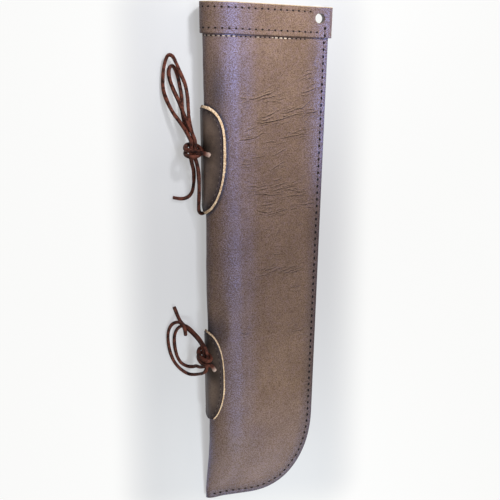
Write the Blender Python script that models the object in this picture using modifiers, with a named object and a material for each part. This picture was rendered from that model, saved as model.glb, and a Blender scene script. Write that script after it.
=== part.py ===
"""A leather holder for a double-bass bow, lying on its back on a table.

One sheet of leather is folded round a spine at the left (-X) and sewn along the right (+X)
and round the toe (-Y). The mouth is at +Y, and +Z comes out of the front. A band is sewn
round the mouth, and two tabs folded round the spine each hold a knotted leather lace.
"""
import math

import bmesh
import bpy
import numpy as np
from mathutils import Vector
from mathutils.bvhtree import BVHTree

# Clearances
GAP = 0.0003
CUT_OVERRUN = 0.004
TINY = 1e-9

# Sheath: one folded sheet
BODY_LENGTH = 0.457
MOUTH_WIDTH = 0.114
MOUTH_FALL = 0.004
SEAM_DRAW = 0.0118
SPINE_DRAW = 0.0035
LEATHER = 0.002
DEPTH = 0.026
FLANGE = 0.009
SPINE_OVER = 0.024
SPINE_UNDER = 0.011
SPINE_LEVEL_SHARE = 0.47
SWELL_RUN = 0.080
SWELL_POWER = 1.35
FLATTEN_LENGTH = 0.075
FLATTEN_SPREAD = 0.002
FOLD_ROOM = 0.0018
FOLD_RUN = 0.012

# Toe of the sheath
TOE_HEIGHT = 0.0815
TOE_FLAT = 0.0405
TOE_RISE = 0.0025
TOE_SIDE_HANDLE = 0.045
TOE_END_HANDLE = 0.038
TOE_DROP_START = 0.073
TOE_DROP_RUN = 0.050

# Mouth band, its facing and the hole through the seam's corner
BAND_LEATHER = 0.002
BAND_HEIGHT = 0.0265
FACING_LEATHER = 0.0012
FACING_HEIGHT = 0.034
FACING_RECESS = 0.0005
FACING_GAP = 0.0006
FACING_STOP = 0.013
HOLE_DIAMETER = 0.008
HOLE_FROM_SEAM = 0.009
HOLE_FROM_MOUTH = 0.0095

# Tabs: centre of the widest place, reach towards the mouth and the toe, half width
TAB_LEATHER = 0.0016
TUNNEL_CORNER = 0.0038
TAB_BACK_REACH = 0.060
TAB_END_SHARE = 0.985
UPPER_TAB_Y = 0.104
UPPER_TAB_UP = 0.037
UPPER_TAB_DOWN = 0.058
UPPER_TAB_HALF_WIDTH = 0.0245
UPPER_TAB_POWER = 2.1
LOWER_TAB_Y = -0.108
LOWER_TAB_UP = 0.047
LOWER_TAB_DOWN = 0.040
LOWER_TAB_HALF_WIDTH = 0.0205
LOWER_TAB_POWER = 2.6
LACE_HOLE_DIAMETER = 0.0046
LACE_HOLE_HEIGHT = 0.0065
UPPER_HOLE_Y = 0.1006
LOWER_HOLE_YS = (-0.0790, -0.0972)

# Threads
STITCH_WIDTH = 0.0011
STITCH_HEIGHT = 0.0006
HOLE_SHARE = 0.4
SEAM_PITCH = 0.0061
SEAM_INSET = 0.0036
SEAM_START = 0.0205
SEAM_END = 0.006
STEP_ROOM = 0.0008
STEP_RUN = 0.0028
BAND_PITCH = 0.0061
BAND_INSET = 0.0045
UPPER_ROW_STOP = 0.018
LOWER_ROW_STOP = 0.011
FINE_PITCH = 0.0044
FINE_DROP = 0.0013
FINE_ROW_STOP = 0.022
TAB_PITCH = 0.0056
TAB_INSET = 0.0036

# Laces
LACE_DIAMETER = 0.003
LACE_STEP = 1.5 * LACE_DIAMETER
LACE_ROUNDING_STEPS = 2
KNOT_ROUNDING_STEPS = 1
WRAP_TURNS = 1.5
WRAP_POINTS = 14

UPPER_KNOT = (-0.0662, 0.1022, 0.0190)
UPPER_KNOT_HALF_SIZES = (0.0070, 0.0075)
UPPER_KNOT_LEAN = math.radians(-17)
UPPER_KNOT_SLOPE = 0.45
UPPER_KNOT_CLIMB = 0.0050
LOWER_KNOT = (-0.0590, -0.0826, 0.0262)
LOWER_KNOT_HALF_SIZES = (0.0046, 0.0064)
LOWER_KNOT_LEAN = math.radians(38.5)
LOWER_KNOT_SLOPE = 0.6
LOWER_KNOT_CLIMB = -0.0044

UPPER_KNOT_START = [
    (-0.0623, 0.1016, 0.0095),
    (-0.0634, 0.1019, 0.0107),
]
UPPER_KNOT_TAIL = [
    (-0.0640, 0.1025, 0.0279),
    (-0.0608, 0.1018, 0.0287),
    (-0.0576, 0.1006, 0.0283),
    (-0.0532, 0.0988, 0.0268),
]
UPPER_OUTER_LOOP = [
    (-0.06785, 0.1037, 0.01905),
    (-0.06785, 0.1100, 0.01905),
    (-0.0702, 0.1155, 0.0171),
    (-0.0732, 0.1212, 0.0143),
    (-0.0772, 0.1275, 0.0113),
    (-0.0820, 0.1345, 0.0083),
    (-0.0866, 0.1440, 0.0054),
    (-0.0896, 0.1545, 0.0025),
    (-0.0896, 0.1660, 0.0018),
    (-0.0882, 0.1760, 0.0028),
    (-0.0854, 0.1832, 0.0049),
    (-0.0816, 0.1826, 0.0067),
    (-0.0780, 0.1755, 0.0073),
    (-0.0744, 0.1670, 0.0069),
    (-0.0708, 0.1580, 0.0063),
    (-0.0690, 0.1480, 0.0059),
    (-0.0685, 0.1380, 0.0065),
    (-0.0681, 0.1285, 0.0085),
    (-0.0670, 0.1205, 0.0115),
    (-0.0656, 0.1145, 0.0141),
    (-0.06455, 0.1100, 0.01575),
    (-0.06455, 0.1037, 0.01575),
]
UPPER_INNER_LOOP = [
    (-0.06455, 0.1037, 0.01905),
    (-0.06455, 0.1100, 0.01905),
    (-0.0662, 0.1155, 0.0179),
    (-0.0686, 0.1215, 0.0155),
    (-0.0716, 0.1290, 0.0127),
    (-0.0743, 0.1365, 0.0101),
    (-0.0770, 0.1445, 0.0077),
    (-0.0804, 0.1525, 0.0054),
    (-0.0834, 0.1610, 0.0030),
    (-0.0846, 0.1685, 0.0020),
    (-0.0834, 0.1734, 0.0018),
    (-0.0802, 0.1738, 0.0018),
    (-0.0768, 0.1655, 0.0018),
    (-0.0749, 0.1565, 0.0018),
    (-0.0737, 0.1480, 0.0019),
    (-0.0736, 0.1395, 0.0028),
    (-0.0730, 0.1310, 0.0051),
    (-0.0716, 0.1230, 0.0087),
    (-0.0698, 0.1160, 0.0127),
    (-0.06785, 0.1100, 0.01575),
    (-0.06785, 0.1037, 0.01575),
]
UPPER_TAIL = [
    (-0.06785, 0.1033, 0.01575),
    (-0.0679, 0.0970, 0.01575),
    (-0.0670, 0.0912, 0.0148),
    (-0.0653, 0.0850, 0.0126),
    (-0.0646, 0.0780, 0.0097),
    (-0.0647, 0.0705, 0.0066),
    (-0.0658, 0.0640, 0.0038),
    (-0.0693, 0.0594, 0.0020),
    (-0.0750, 0.0580, 0.0018),
    (-0.0825, 0.0592, 0.0018),
]
UPPER_LEAD = [
    (-0.06455, 0.1033, 0.01575),
    (-0.06455, 0.0970, 0.0158),
    (-0.0630, 0.0910, 0.0170),
    (-0.0618, 0.0840, 0.0178),
    (-0.0612, 0.0740, 0.0176),
    (-0.0610, 0.0640, 0.0156),
    (-0.0609, 0.0570, 0.0126),
    (-0.0606, 0.0512, 0.0095),
    (-0.0598, 0.0468, 0.0070),
    (-0.0573, 0.0447, 0.0056),
    (-0.0546, 0.0462, 0.0053),
    (-0.0529, 0.0508, 0.0053),
    (-0.0527, 0.0570, 0.0051),
    (-0.0531, 0.0700, 0.0052),
    (-0.0534, 0.0830, 0.0052),
    (-0.0536, 0.0928, 0.0051),
    (-0.0536, 0.0970, 0.0054),
    (-0.0538, 0.0994, 0.0059),
    (-0.0552, 0.1006, 0.0064),
    (-0.0576, 0.1006, 0.0065),
    (-0.0597, 0.1009, 0.0071),
    (-0.0619, 0.1015, 0.0091),
]

LOWER_KNOT_START = [
    (-0.0597, -0.0767, 0.0173),
    (-0.0611, -0.0762, 0.0193),
]
LOWER_KNOT_TAIL = [
    (-0.0530, -0.0903, 0.0303),
    (-0.0516, -0.0926, 0.0293),
    (-0.0503, -0.0950, 0.0287),
]
LOWER_RIGHT_STRAND = [
    (-0.0595, -0.0848, 0.0244),
    (-0.0595, -0.0785, 0.0244),
    (-0.0602, -0.0738, 0.0221),
    (-0.0625, -0.0701, 0.0165),
    (-0.0656, -0.0670, 0.0107),
    (-0.0690, -0.0637, 0.0063),
    (-0.0724, -0.0606, 0.0032),
    (-0.0757, -0.0573, 0.0019),
    (-0.0786, -0.0528, 0.0018),
    (-0.0809, -0.0470, 0.0018),
    (-0.0830, -0.0412, 0.0018),
]
LOWER_INNER_LOOP = [
    (-0.0573, -0.0848, 0.0271),
    (-0.0573, -0.0785, 0.0271),
    (-0.0592, -0.0728, 0.0256),
    (-0.0631, -0.0669, 0.0199),
    (-0.0664, -0.0633, 0.0149),
    (-0.0700, -0.0598, 0.0107),
    (-0.0739, -0.0577, 0.0077),
    (-0.0780, -0.0586, 0.0059),
    (-0.0810, -0.0620, 0.0036),
    (-0.0829, -0.0675, 0.0019),
    (-0.0833, -0.0740, 0.0018),
    (-0.0825, -0.0815, 0.0018),
    (-0.0807, -0.0885, 0.0018),
    (-0.0774, -0.0944, 0.0018),
    (-0.0724, -0.0976, 0.0025),
    (-0.0676, -0.0974, 0.0063),
    (-0.0648, -0.0952, 0.0117),
    (-0.0634, -0.0942, 0.0173),
    (-0.0614, -0.0934, 0.0215),
    (-0.0595, -0.0915, 0.0244),
    (-0.0595, -0.0852, 0.0244),
]
LOWER_OUTER_LOOP = [
    (-0.0573, -0.0852, 0.0271),
    (-0.0573, -0.0915, 0.0271),
    (-0.0582, -0.0966, 0.0245),
    (-0.0603, -0.1000, 0.0195),
    (-0.0625, -0.1024, 0.0137),
    (-0.0656, -0.1044, 0.0083),
    (-0.0696, -0.1052, 0.0043),
    (-0.0740, -0.1036, 0.0020),
    (-0.0788, -0.0996, 0.0018),
    (-0.0830, -0.0942, 0.0018),
    (-0.0862, -0.0872, 0.0018),
    (-0.0882, -0.0795, 0.0018),
    (-0.0891, -0.0710, 0.0018),
    (-0.0885, -0.0636, 0.0018),
    (-0.0860, -0.0582, 0.0023),
    (-0.0824, -0.0552, 0.0043),
    (-0.0788, -0.0544, 0.0083),
    (-0.0760, -0.0568, 0.0119),
    (-0.0746, -0.0610, 0.0119),
    (-0.0738, -0.0660, 0.0093),
]
LOWER_LEAD = [
    (-0.0595, -0.0767, 0.0165),
    (-0.0592, -0.0768, 0.0129),
    (-0.0591, -0.0775, 0.0097),
    (-0.0585, -0.0786, 0.0074),
    (-0.0570, -0.0790, 0.0066),
    (-0.0546, -0.0790, 0.0065),
    (-0.0527, -0.0797, 0.0062),
    (-0.0521, -0.0820, 0.0058),
    (-0.0521, -0.0868, 0.0056),
    (-0.0521, -0.0920, 0.0056),
    (-0.0521, -0.0954, 0.0060),
    (-0.0533, -0.0971, 0.0064),
    (-0.0560, -0.0972, 0.0065),
    (-0.0575, -0.0972, 0.0067),
    (-0.0588, -0.0971, 0.0075),
    (-0.0591, -0.0966, 0.0101),
    (-0.0590, -0.0954, 0.0139),
    (-0.0588, -0.0938, 0.0175),
]

# Mesh steps
STRAIGHT_ROWS = 15
TOE_ROWS = 16
COARSE_STEPS = (5, 5, 8, 10)
FINE_STEPS = (12, 24, 40, 60)
FLANGE_STEPS = 2
RIM_STEPS = 3
STRIP_ROWS = 3
TAB_ROWS = 21
TAB_EDGE_STEPS = 84
TAB_COLUMNS = 18
CORNER_STEPS = 5
TOE_CURVE_STEPS = 48
ROUTE_STEPS = 8
HOLE_SIDES = 32

# Worked out from the sizes above
TOP_Y = BODY_LENGTH / 2
BOTTOM_Y = -TOP_Y
LEFT_X = -MOUTH_WIDTH / 2
RIGHT_X = MOUTH_WIDTH / 2
STRAIGHT = BODY_LENGTH - TOE_HEIGHT
ROW_RUN = STRAIGHT - MOUTH_FALL
FLANGE_LEVEL = LEATHER + GAP
FULL_CROWN = DEPTH - LEATHER
BAND_LIFT = LEATHER / 2 + GAP + BAND_LEATHER / 2
RAY_START = 2 * DEPTH
TAB_LIFT = LEATHER / 2 + GAP + TAB_LEATHER / 2
FACING_LIFT = -(LEATHER / 2 + FACING_GAP + FACING_LEATHER / 2)
REST_LEVEL = GAP + STITCH_HEIGHT
BACK_LEVEL = REST_LEVEL + max(BAND_LEATHER, TAB_LEATHER) + GAP + LEATHER / 2
TOE_LEVEL = REST_LEVEL + LEATHER / 2
SEAM_TOP = np.array((RIGHT_X, TOP_Y - MOUTH_FALL))
SEAM_FOOT = np.array((RIGHT_X - SEAM_DRAW, BOTTOM_Y + TOE_HEIGHT))


def clear_scene():
    """Remove what the file opened with, and make the two collections."""
    for obj in list(bpy.data.objects):
        bpy.data.objects.remove(obj, do_unlink=True)
    made = []
    for name in ("bass_bow_holder", "cutters"):
        collection = bpy.data.collections.new(name)
        bpy.context.scene.collection.children.link(collection)
        made.append(collection)
    return made


def material(name, color, roughness, metallic=0.0):
    """A plain Principled material."""
    made = bpy.data.materials.new(name)
    made.use_nodes = True
    shader = made.node_tree.nodes["Principled BSDF"]
    shader.inputs["Base Color"].default_value = (*color, 1.0)
    shader.inputs["Roughness"].default_value = roughness
    shader.inputs["Metallic"].default_value = metallic
    return made


def clamp(value):
    return min(max(value, 0.0), 1.0)


def lerp(start, end, share):
    return start + (end - start) * share


def unit(vector):
    return vector / max(np.linalg.norm(vector), TINY)


# Plan of the sheath

def closing(y):
    """Share of the full depth that the spine has at y: it closes to a flat fold at the toe."""
    rise = (y - BOTTOM_Y - FLANGE) / (FLATTEN_LENGTH - FLANGE)
    return math.sin(clamp(rise) * math.pi / 2)


def spine_x(y):
    """Left-most x of the folded spine at y."""
    run = min((TOP_Y - y) / STRAIGHT, 1.0)
    return LEFT_X + SPINE_DRAW * run - FLATTEN_SPREAD * (1.0 - closing(y))


def back_level(y):
    """Height of the back's middle surface: over the band and tabs, then down at the toe."""
    share = clamp((BOTTOM_Y + TOE_DROP_START - y) / TOE_DROP_RUN)
    return lerp(BACK_LEVEL, TOE_LEVEL, share * share * (3.0 - 2.0 * share))


def toe_curve(share):
    """The sewn edge from the end of the straight seam to the flat of the toe."""
    corner = np.array((spine_x(BOTTOM_Y), BOTTOM_Y))
    flat_end = corner + np.array((TOE_FLAT, TOE_RISE))
    side = SEAM_FOOT + unit(SEAM_FOOT - SEAM_TOP) * TOE_SIDE_HANDLE
    end = flat_end + unit(flat_end - corner) * TOE_END_HANDLE
    left = 1.0 - share
    return (SEAM_FOOT * left**3 + side * 3 * left**2 * share
            + end * 3 * left * share**2 + flat_end * share**3)


def sewn_outline():
    """Points of the sewn edge from the mouth, round the toe, to the spine's corner."""
    shares = np.linspace(0.0, 1.0, TOE_CURVE_STEPS + 1)
    corner = np.array((spine_x(BOTTOM_Y), BOTTOM_Y))
    return np.array([SEAM_TOP, *[toe_curve(share) for share in shares], corner])


OUTLINE = sewn_outline()


def edge_distance(point):
    """Distance from a plan point to the sewn edge."""
    start, step = OUTLINE[:-1], np.diff(OUTLINE, axis=0)
    along = ((point - start) * step).sum(1) / (step * step).sum(1)
    nearest = start + step * np.clip(along, 0.0, 1.0)[:, None]
    return float(np.linalg.norm(point - nearest, axis=1).min())


def row_ends(run):
    """Spine end and sewn end of a cross row: run 0 at the mouth, 1 where the toe starts, 2 last."""
    if run <= 1.0:
        spine_y = TOP_Y - ROW_RUN * run
        sewn = lerp(SEAM_TOP, SEAM_FOOT, run)
    else:
        spine_y = lerp(TOP_Y - ROW_RUN, BOTTOM_Y, run - 1.0)
        sewn = toe_curve(run - 1.0)
    return np.array((spine_x(spine_y), spine_y)), sewn


# Cross section of the sheath

def swell(distance):
    """Share of the crown's height at a distance inside the flange."""
    return 1.0 - (1.0 - clamp(distance / SWELL_RUN)) ** SWELL_POWER


def cross_row(run, steps):
    """Middle surface of the sheet along one row, from the back's sewn edge round the spine.

    Gives the row's spine end and direction, its (across, height) points and the place in
    that list of the spine's left-most point.
    """
    back_steps, under_steps, over_steps, front_steps = steps
    start, sewn = row_ends(run)
    width = float(np.linalg.norm(sewn - start))
    direction = (sewn - start) / width
    crown = FLANGE_LEVEL + FOLD_ROOM + (FULL_CROWN - FLANGE_LEVEL - FOLD_ROOM) * closing(start[1])
    scale = crown / FULL_CROWN
    over, under = SPINE_OVER * scale, SPINE_UNDER * scale
    level = crown * SPINE_LEVEL_SHARE
    nose = LEATHER / 2
    points = [(across, 0.0) for across in np.linspace(width, width - FLANGE, FLANGE_STEPS + 1)]
    for across in np.linspace(width - FLANGE, nose + under, back_steps + 1)[1:]:
        points.append((across, 0.0))
    for angle in np.linspace(0.0, math.pi / 2, under_steps + 1)[1:]:
        points.append((nose + under * (1.0 - math.sin(angle)), level * (1.0 - math.cos(angle))))
    nose_place = len(points) - 1
    for angle in np.linspace(0.0, math.pi / 2, over_steps + 1)[1:]:
        height = level + (crown - level) * math.sin(angle)
        points.append((nose + over * (1.0 - math.cos(angle)), height))
    crown_across = nose + over
    crown_swell = max(swell(edge_distance(start + direction * crown_across) - FLANGE), TINY)
    front = list(np.linspace(crown_across, width - FLANGE, front_steps + 1)[1:])
    front += list(np.linspace(width - FLANGE, width, FLANGE_STEPS + 1)[1:])
    for across in front:
        fold = (1.0 + math.cos(math.pi * min((across - crown_across) / FOLD_RUN, 1.0))) / 2
        rise = min(swell(edge_distance(start + direction * across) - FLANGE) / crown_swell, 1.0)
        height = FLANGE_LEVEL + FOLD_ROOM * fold + (crown - FLANGE_LEVEL - FOLD_ROOM) * rise
        points.append((across, height))
    return start, direction, np.array(points), nose_place


def placed(start, direction, across, height):
    """World point of an (across, height) pair on a row."""
    plan = start + direction * across
    return Vector((plan[0], plan[1], height + back_level(plan[1])))


def arcs_of(points, zero_place):
    """Length along a line of points, zero at one of them."""
    lengths = np.concatenate(([0.0], np.cumsum(np.linalg.norm(np.diff(points, axis=0), axis=1))))
    return lengths - lengths[zero_place]


def offset_line(points, lift):
    """The line moved outwards, across its own direction."""
    tangent = np.gradient(points, axis=0)
    tangent /= np.maximum(np.linalg.norm(tangent, axis=1), TINY)[:, None]
    return points + np.stack((-tangent[:, 1], tangent[:, 0]), axis=1) * lift


def wrap_line(y, lift):
    """The section at y moved outwards by lift: row start, direction, points and arcs."""
    start, direction, points, nose = cross_row((TOP_Y - y) / ROW_RUN, FINE_STEPS)
    return start, direction, offset_line(points, lift), arcs_of(points, nose)


def on_line(line, arc):
    """World point at an arc length of a line from wrap_line or tab_line."""
    start, direction, points, arcs = line
    across = float(np.interp(arc, arcs, points[:, 0]))
    height = float(np.interp(arc, arcs, points[:, 1]))
    return placed(start, direction, across, height)


def arc_at(line, across, front):
    """Arc length where the line's front or back passes a distance across."""
    points, arcs = line[2], line[3]
    side = arcs >= 0 if front else arcs <= 0
    order = np.argsort(points[side, 0])
    return float(np.interp(across, points[side, 0][order], arcs[side][order]))


# Solids from sheets

def grid_object(name, rows, closed, collection, mat):
    """An open surface through rows of points; closed joins each row's ends."""
    mesh = bpy.data.meshes.new(name)
    shape = bmesh.new()
    grid = [[shape.verts.new(point) for point in row] for row in rows]
    columns = len(grid[0])
    last = columns if closed else columns - 1
    for upper, lower in zip(grid, grid[1:]):
        for place in range(last):
            beside = (place + 1) % columns
            shape.faces.new((upper[place], upper[beside], lower[beside], lower[place]))
    bmesh.ops.recalc_face_normals(shape, faces=shape.faces)
    shape.to_mesh(mesh)
    shape.free()
    mesh.shade_smooth()
    obj = bpy.data.objects.new(name, mesh)
    collection.objects.link(obj)
    mesh.materials.append(mat)
    return obj


def thicken(obj, thickness):
    """Give an open surface its leather's thickness, half to each side."""
    solid = obj.modifiers.new("thickness", "SOLIDIFY")
    solid.thickness = thickness
    solid.offset = 0.0
    solid.use_even_offset = True
    solid.use_quality_normals = True


def cut(obj, cutter):
    """Cut one object with another."""
    boolean = obj.modifiers.new("cut", "BOOLEAN")
    boolean.operation = "DIFFERENCE"
    boolean.solver = "EXACT"
    boolean.object = cutter


def drill(name, diameter, length, place, axis, cutters):
    """A round cutter centred at a place, along an axis."""
    mesh = bpy.data.meshes.new(name)
    shape = bmesh.new()
    bmesh.ops.create_cone(shape, cap_ends=True, segments=HOLE_SIDES, radius1=diameter / 2,
                          radius2=diameter / 2, depth=length)
    shape.to_mesh(mesh)
    shape.free()
    obj = bpy.data.objects.new(name, mesh)
    obj.location = place
    obj.rotation_euler = Vector(axis).to_track_quat("Z", "Y").to_euler()
    obj.hide_render = True
    obj.display_type = "WIRE"
    cutters.objects.link(obj)
    return obj


# Sheath, band and facing

def make_sheath(collection, mat):
    """The folded sheet, from the mouth to the sewn toe."""
    runs = list(np.linspace(0.0, 1.0, STRAIGHT_ROWS + 1))
    runs += list(np.linspace(1.0, 2.0, TOE_ROWS + 1)[1:])
    rows = []
    for run in runs:
        start, direction, points, _ = cross_row(run, COARSE_STEPS)
        rows.append([placed(start, direction, *point) for point in points])
    obj = grid_object("sheath_body", rows, False, collection, mat)
    thicken(obj, LEATHER)
    return obj


def band_ring(y):
    """Closed middle line of the band: outside the sheet, and round its sewn edges."""
    start, direction, points, _ = cross_row((TOP_Y - y) / ROW_RUN, COARSE_STEPS)
    ring = list(offset_line(points, BAND_LIFT))
    width = points[-1, 0]
    front = [(width + BAND_LIFT * math.sin(angle), FLANGE_LEVEL + BAND_LIFT * math.cos(angle))
             for angle in np.linspace(0.0, math.pi / 2, RIM_STEPS + 1)[1:]]
    back = [(width + BAND_LIFT * math.cos(angle), -BAND_LIFT * math.sin(angle))
            for angle in np.linspace(0.0, math.pi / 2, RIM_STEPS + 1)[:-1]]
    return [placed(start, direction, *point) for point in ring + front + back]


def make_band(collection, mat):
    """The band sewn round the outside of the mouth."""
    rows = [band_ring(TOP_Y - BAND_HEIGHT * share) for share in np.linspace(0.0, 1.0, STRIP_ROWS)]
    obj = grid_object("mouth_band", rows, True, collection, mat)
    thicken(obj, BAND_LEATHER)
    return obj


def make_facing(collection, mat):
    """The thin strip sewn inside the mouth, clear of the seam."""
    rows = []
    for depth in np.linspace(FACING_RECESS, FACING_HEIGHT, STRIP_ROWS):
        line = wrap_line(TOP_Y - depth, FACING_LIFT)
        stop = line[2][:, 0].max() - FLANGE - FACING_STOP
        arcs = np.linspace(arc_at(line, stop, False), arc_at(line, stop, True), sum(COARSE_STEPS))
        rows.append([on_line(line, arc) for arc in arcs])
    obj = grid_object("mouth_facing", rows, False, collection, mat)
    thicken(obj, FACING_LEATHER)
    return obj


# Tabs

def tab_line(y):
    """Middle line of a tab: round the spine, squarer below to leave the lace its tunnel."""
    start, direction, points, nose = cross_row((TOP_Y - y) / ROW_RUN, FINE_STEPS)
    upper = offset_line(points, TAB_LIFT)[nose:]
    left = LEATHER / 2 - TAB_LIFT
    centre = (left + TUNNEL_CORNER, TUNNEL_CORNER - TAB_LIFT)
    corner = [(centre[0] - TUNNEL_CORNER * math.sin(angle), centre[1] - TUNNEL_CORNER * math.cos(angle))
              for angle in np.linspace(0.0, math.pi / 2, CORNER_STEPS + 1)]
    lower = np.array([(left + TAB_BACK_REACH, -TAB_LIFT), *corner])
    line = np.concatenate((lower, upper))
    return start, direction, line, arcs_of(line, len(lower))


def tab_half_width(y, tab):
    """Half width of an oval tab at y."""
    centre, up, down, widest, power = tab
    share = (y - centre) / (up if y > centre else down)
    return widest * max(1.0 - abs(share) ** power, 0.0) ** (1.0 / power)


def make_tab(name, tab, collection, mat):
    """An oval of leather folded round the spine."""
    centre, up, down = tab[:3]
    rows = []
    for angle in np.linspace(0.0, math.pi, TAB_ROWS):
        reach = math.cos(angle) * TAB_END_SHARE
        y = centre + reach * (up if reach > 0 else down)
        line = tab_line(y)
        half = tab_half_width(y, tab)
        rows.append([on_line(line, arc) for arc in np.linspace(-half, half, TAB_COLUMNS + 1)])
    obj = grid_object(name, rows, False, collection, mat)
    thicken(obj, TAB_LEATHER)
    return obj


# Threads

def resample(points, pitch):
    """Points at even steps along a path."""
    points = np.array(points)
    lengths = arcs_of(points, 0)
    count = max(int(round(lengths[-1] / pitch)), 1)
    places = np.linspace(0.0, lengths[-1], count + 1)
    return np.stack([np.interp(places, lengths, points[:, axis]) for axis in range(3)], axis=1)


def surface_of(obj):
    """The finished surface of an object, for seating thread on it."""
    bpy.context.view_layer.update()
    return BVHTree.FromObject(obj, bpy.context.evaluated_depsgraph_get())


def seats_on(tree, path, pitch):
    """Seats (place, outward normal) for a thread: one in each stitch and one in each hole."""
    seats = []
    for point in resample(path, pitch / 2):
        point = Vector(point)
        place, normal, _, _ = tree.find_nearest(point)
        seats.append((place, normal if normal.dot(point - place) > 0 else -normal))
    return seats


def thread(name, seats, closed, collection, mat):
    """One thread over its seats: a ridge that swells at each stitch and dips at each hole."""
    mesh = bpy.data.meshes.new(name)
    shape = bmesh.new()
    places = [place for place, _ in seats]
    before = places[-1:] + places[:-1] if closed else places[:1] + places[:-1]
    after = places[1:] + places[:1] if closed else places[1:] + places[-1:]
    rings = []
    for index, (place, normal) in enumerate(seats):
        side = normal.cross(after[index] - before[index]).normalized()
        share = 1.0 if index % 2 else HOLE_SHARE
        foot = side * STITCH_WIDTH * share / 2
        base = place + normal * GAP
        top = base + normal * STITCH_HEIGHT * share
        rings.append([shape.verts.new(point) for point in (base + foot, top, base - foot)])
    for ring, following in zip(rings, rings[1:] + rings[:1] if closed else rings[1:]):
        for index in range(len(ring)):
            beside = (index + 1) % len(ring)
            shape.faces.new((ring[index], ring[beside], following[beside], following[index]))
    if not closed:
        shape.faces.new(rings[0])
        shape.faces.new(rings[-1])
    bmesh.ops.recalc_face_normals(shape, faces=shape.faces)
    shape.to_mesh(mesh)
    shape.free()
    mesh.materials.append(mat)
    obj = bpy.data.objects.new(name, mesh)
    collection.objects.link(obj)


def seam_path(tree, highest, lowest, down):
    """The seam's line between two heights of y, dropped on to a surface."""
    inner = offset_line(OUTLINE, -SEAM_INSET)
    lengths = arcs_of(inner, 0)
    path = []
    for length in np.arange(0.0, lengths[-1] - SEAM_END, SEAM_PITCH / 2):
        x, y = (np.interp(length, lengths, inner[:, axis]) for axis in range(2))
        hit = tree.ray_cast(Vector((x, y, -down * RAY_START)), Vector((0, 0, down)))[0]
        if hit and lowest <= y <= highest:
            path.append(hit - Vector((0, 0, down)) * STITCH_HEIGHT)
    return path


def make_seam_threads(sheath, band, collection, mat):
    """The seam's thread on the front and on the back: over the band, then round the toe."""
    on_band, on_body = surface_of(band), surface_of(sheath)
    edge = TOP_Y - MOUTH_FALL - BAND_HEIGHT
    for name, down in (("front_seam_thread", -1), ("back_seam_thread", 1)):
        upper = seam_path(on_band, TOP_Y - SEAM_START, edge + STEP_ROOM, down)
        lower = seam_path(on_body, edge - STEP_RUN, BOTTOM_Y, down)
        seats = seats_on(on_band, upper, SEAM_PITCH)
        place, normal = seats[-1]
        seats.append((Vector((place.x, edge - STEP_ROOM, place.z)), normal))
        seats += seats_on(on_body, lower, SEAM_PITCH)
        thread(name, seats, False, collection, mat)


def mouth_seats(tree, depth, lift, stop, pitch):
    """Seats of a thread right round the mouth, from flange to flange."""
    line = wrap_line(TOP_Y - depth, lift)
    reach = line[2][:, 0].max() - stop
    arcs = np.linspace(arc_at(line, reach, False), arc_at(line, reach, True), sum(FINE_STEPS))
    return seats_on(tree, [on_line(line, arc) for arc in arcs], pitch)


def make_mouth_threads(sheath, band, collection, mat):
    """Two rows on the band, and the finer row on the body just below it."""
    on_band, on_body = surface_of(band), surface_of(sheath)
    over_band = BAND_LIFT + BAND_LEATHER / 2 + STITCH_HEIGHT
    over_body = LEATHER / 2 + STITCH_HEIGHT
    low = BAND_HEIGHT - BAND_INSET
    below = BAND_HEIGHT + FINE_DROP
    rows = {
        "band_upper_thread": mouth_seats(on_band, BAND_INSET, over_band, UPPER_ROW_STOP, BAND_PITCH),
        "band_lower_thread": mouth_seats(on_band, low, over_band, LOWER_ROW_STOP, BAND_PITCH),
        "facing_thread": mouth_seats(on_body, below, over_body, FINE_ROW_STOP, FINE_PITCH),
    }
    for name, seats in rows.items():
        thread(name, seats, False, collection, mat)


def make_tab_thread(name, obj, tab, collection, mat):
    """The thread round a tab's whole edge, front and back."""
    centre, up, down, widest, power = tab
    up, down, widest = up - TAB_INSET, down - TAB_INSET, widest - TAB_INSET
    inner = (centre, up, down, widest, power)
    out = TAB_LEATHER / 2 + STITCH_HEIGHT
    path = []
    for angle in np.linspace(0.0, 2 * math.pi, TAB_EDGE_STEPS):
        reach = math.cos(angle)
        y = centre + reach * (up if reach > 0 else down)
        start, direction, points, arcs = tab_line(y)
        lifted = (start, direction, offset_line(points, out), arcs)
        side = math.copysign(1.0, math.sin(angle))
        path.append(on_line(lifted, side * tab_half_width(y, inner)))
    seats = seats_on(surface_of(obj), path, TAB_PITCH)[:-1]
    if len(seats) % 2:
        seats.pop()
    thread(name, seats, True, collection, mat)


# Laces

def smooth_route(points, step):
    """A smooth curve through a route's points, read at even steps."""
    points = np.array(points, dtype=float)
    ends = [2 * points[0] - points[1], *points, 2 * points[-1] - points[-2]]
    fine = []
    for before, start, end, after in zip(ends, ends[1:], ends[2:], ends[3:]):
        for share in np.linspace(0.0, 1.0, ROUTE_STEPS + 1)[:-1]:
            pull = end - before
            push = after - start
            square, cube = share**2, share**3
            fine.append((2 * cube - 3 * square + 1) * start + (cube - 2 * square + share) * pull / 2
                        + (3 * square - 2 * cube) * end + (cube - square) * push / 2)
    fine.append(points[-1])
    return resample(fine, step)


def tube(name, points, collection, mat, rounding=LACE_ROUNDING_STEPS):
    """A round lace along points, with closed ends."""
    curve = bpy.data.curves.new(name, "CURVE")
    curve.dimensions = "3D"
    curve.fill_mode = "FULL"
    curve.bevel_depth = LACE_DIAMETER / 2
    curve.bevel_resolution = rounding
    curve.use_fill_caps = True
    spline = curve.splines.new("POLY")
    spline.points.add(len(points) - 1)
    for knot, point in zip(spline.points, points):
        knot.co = (*point, 1.0)
    curve.materials.append(mat)
    obj = bpy.data.objects.new(name, curve)
    collection.objects.link(obj)
    return obj


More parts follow.
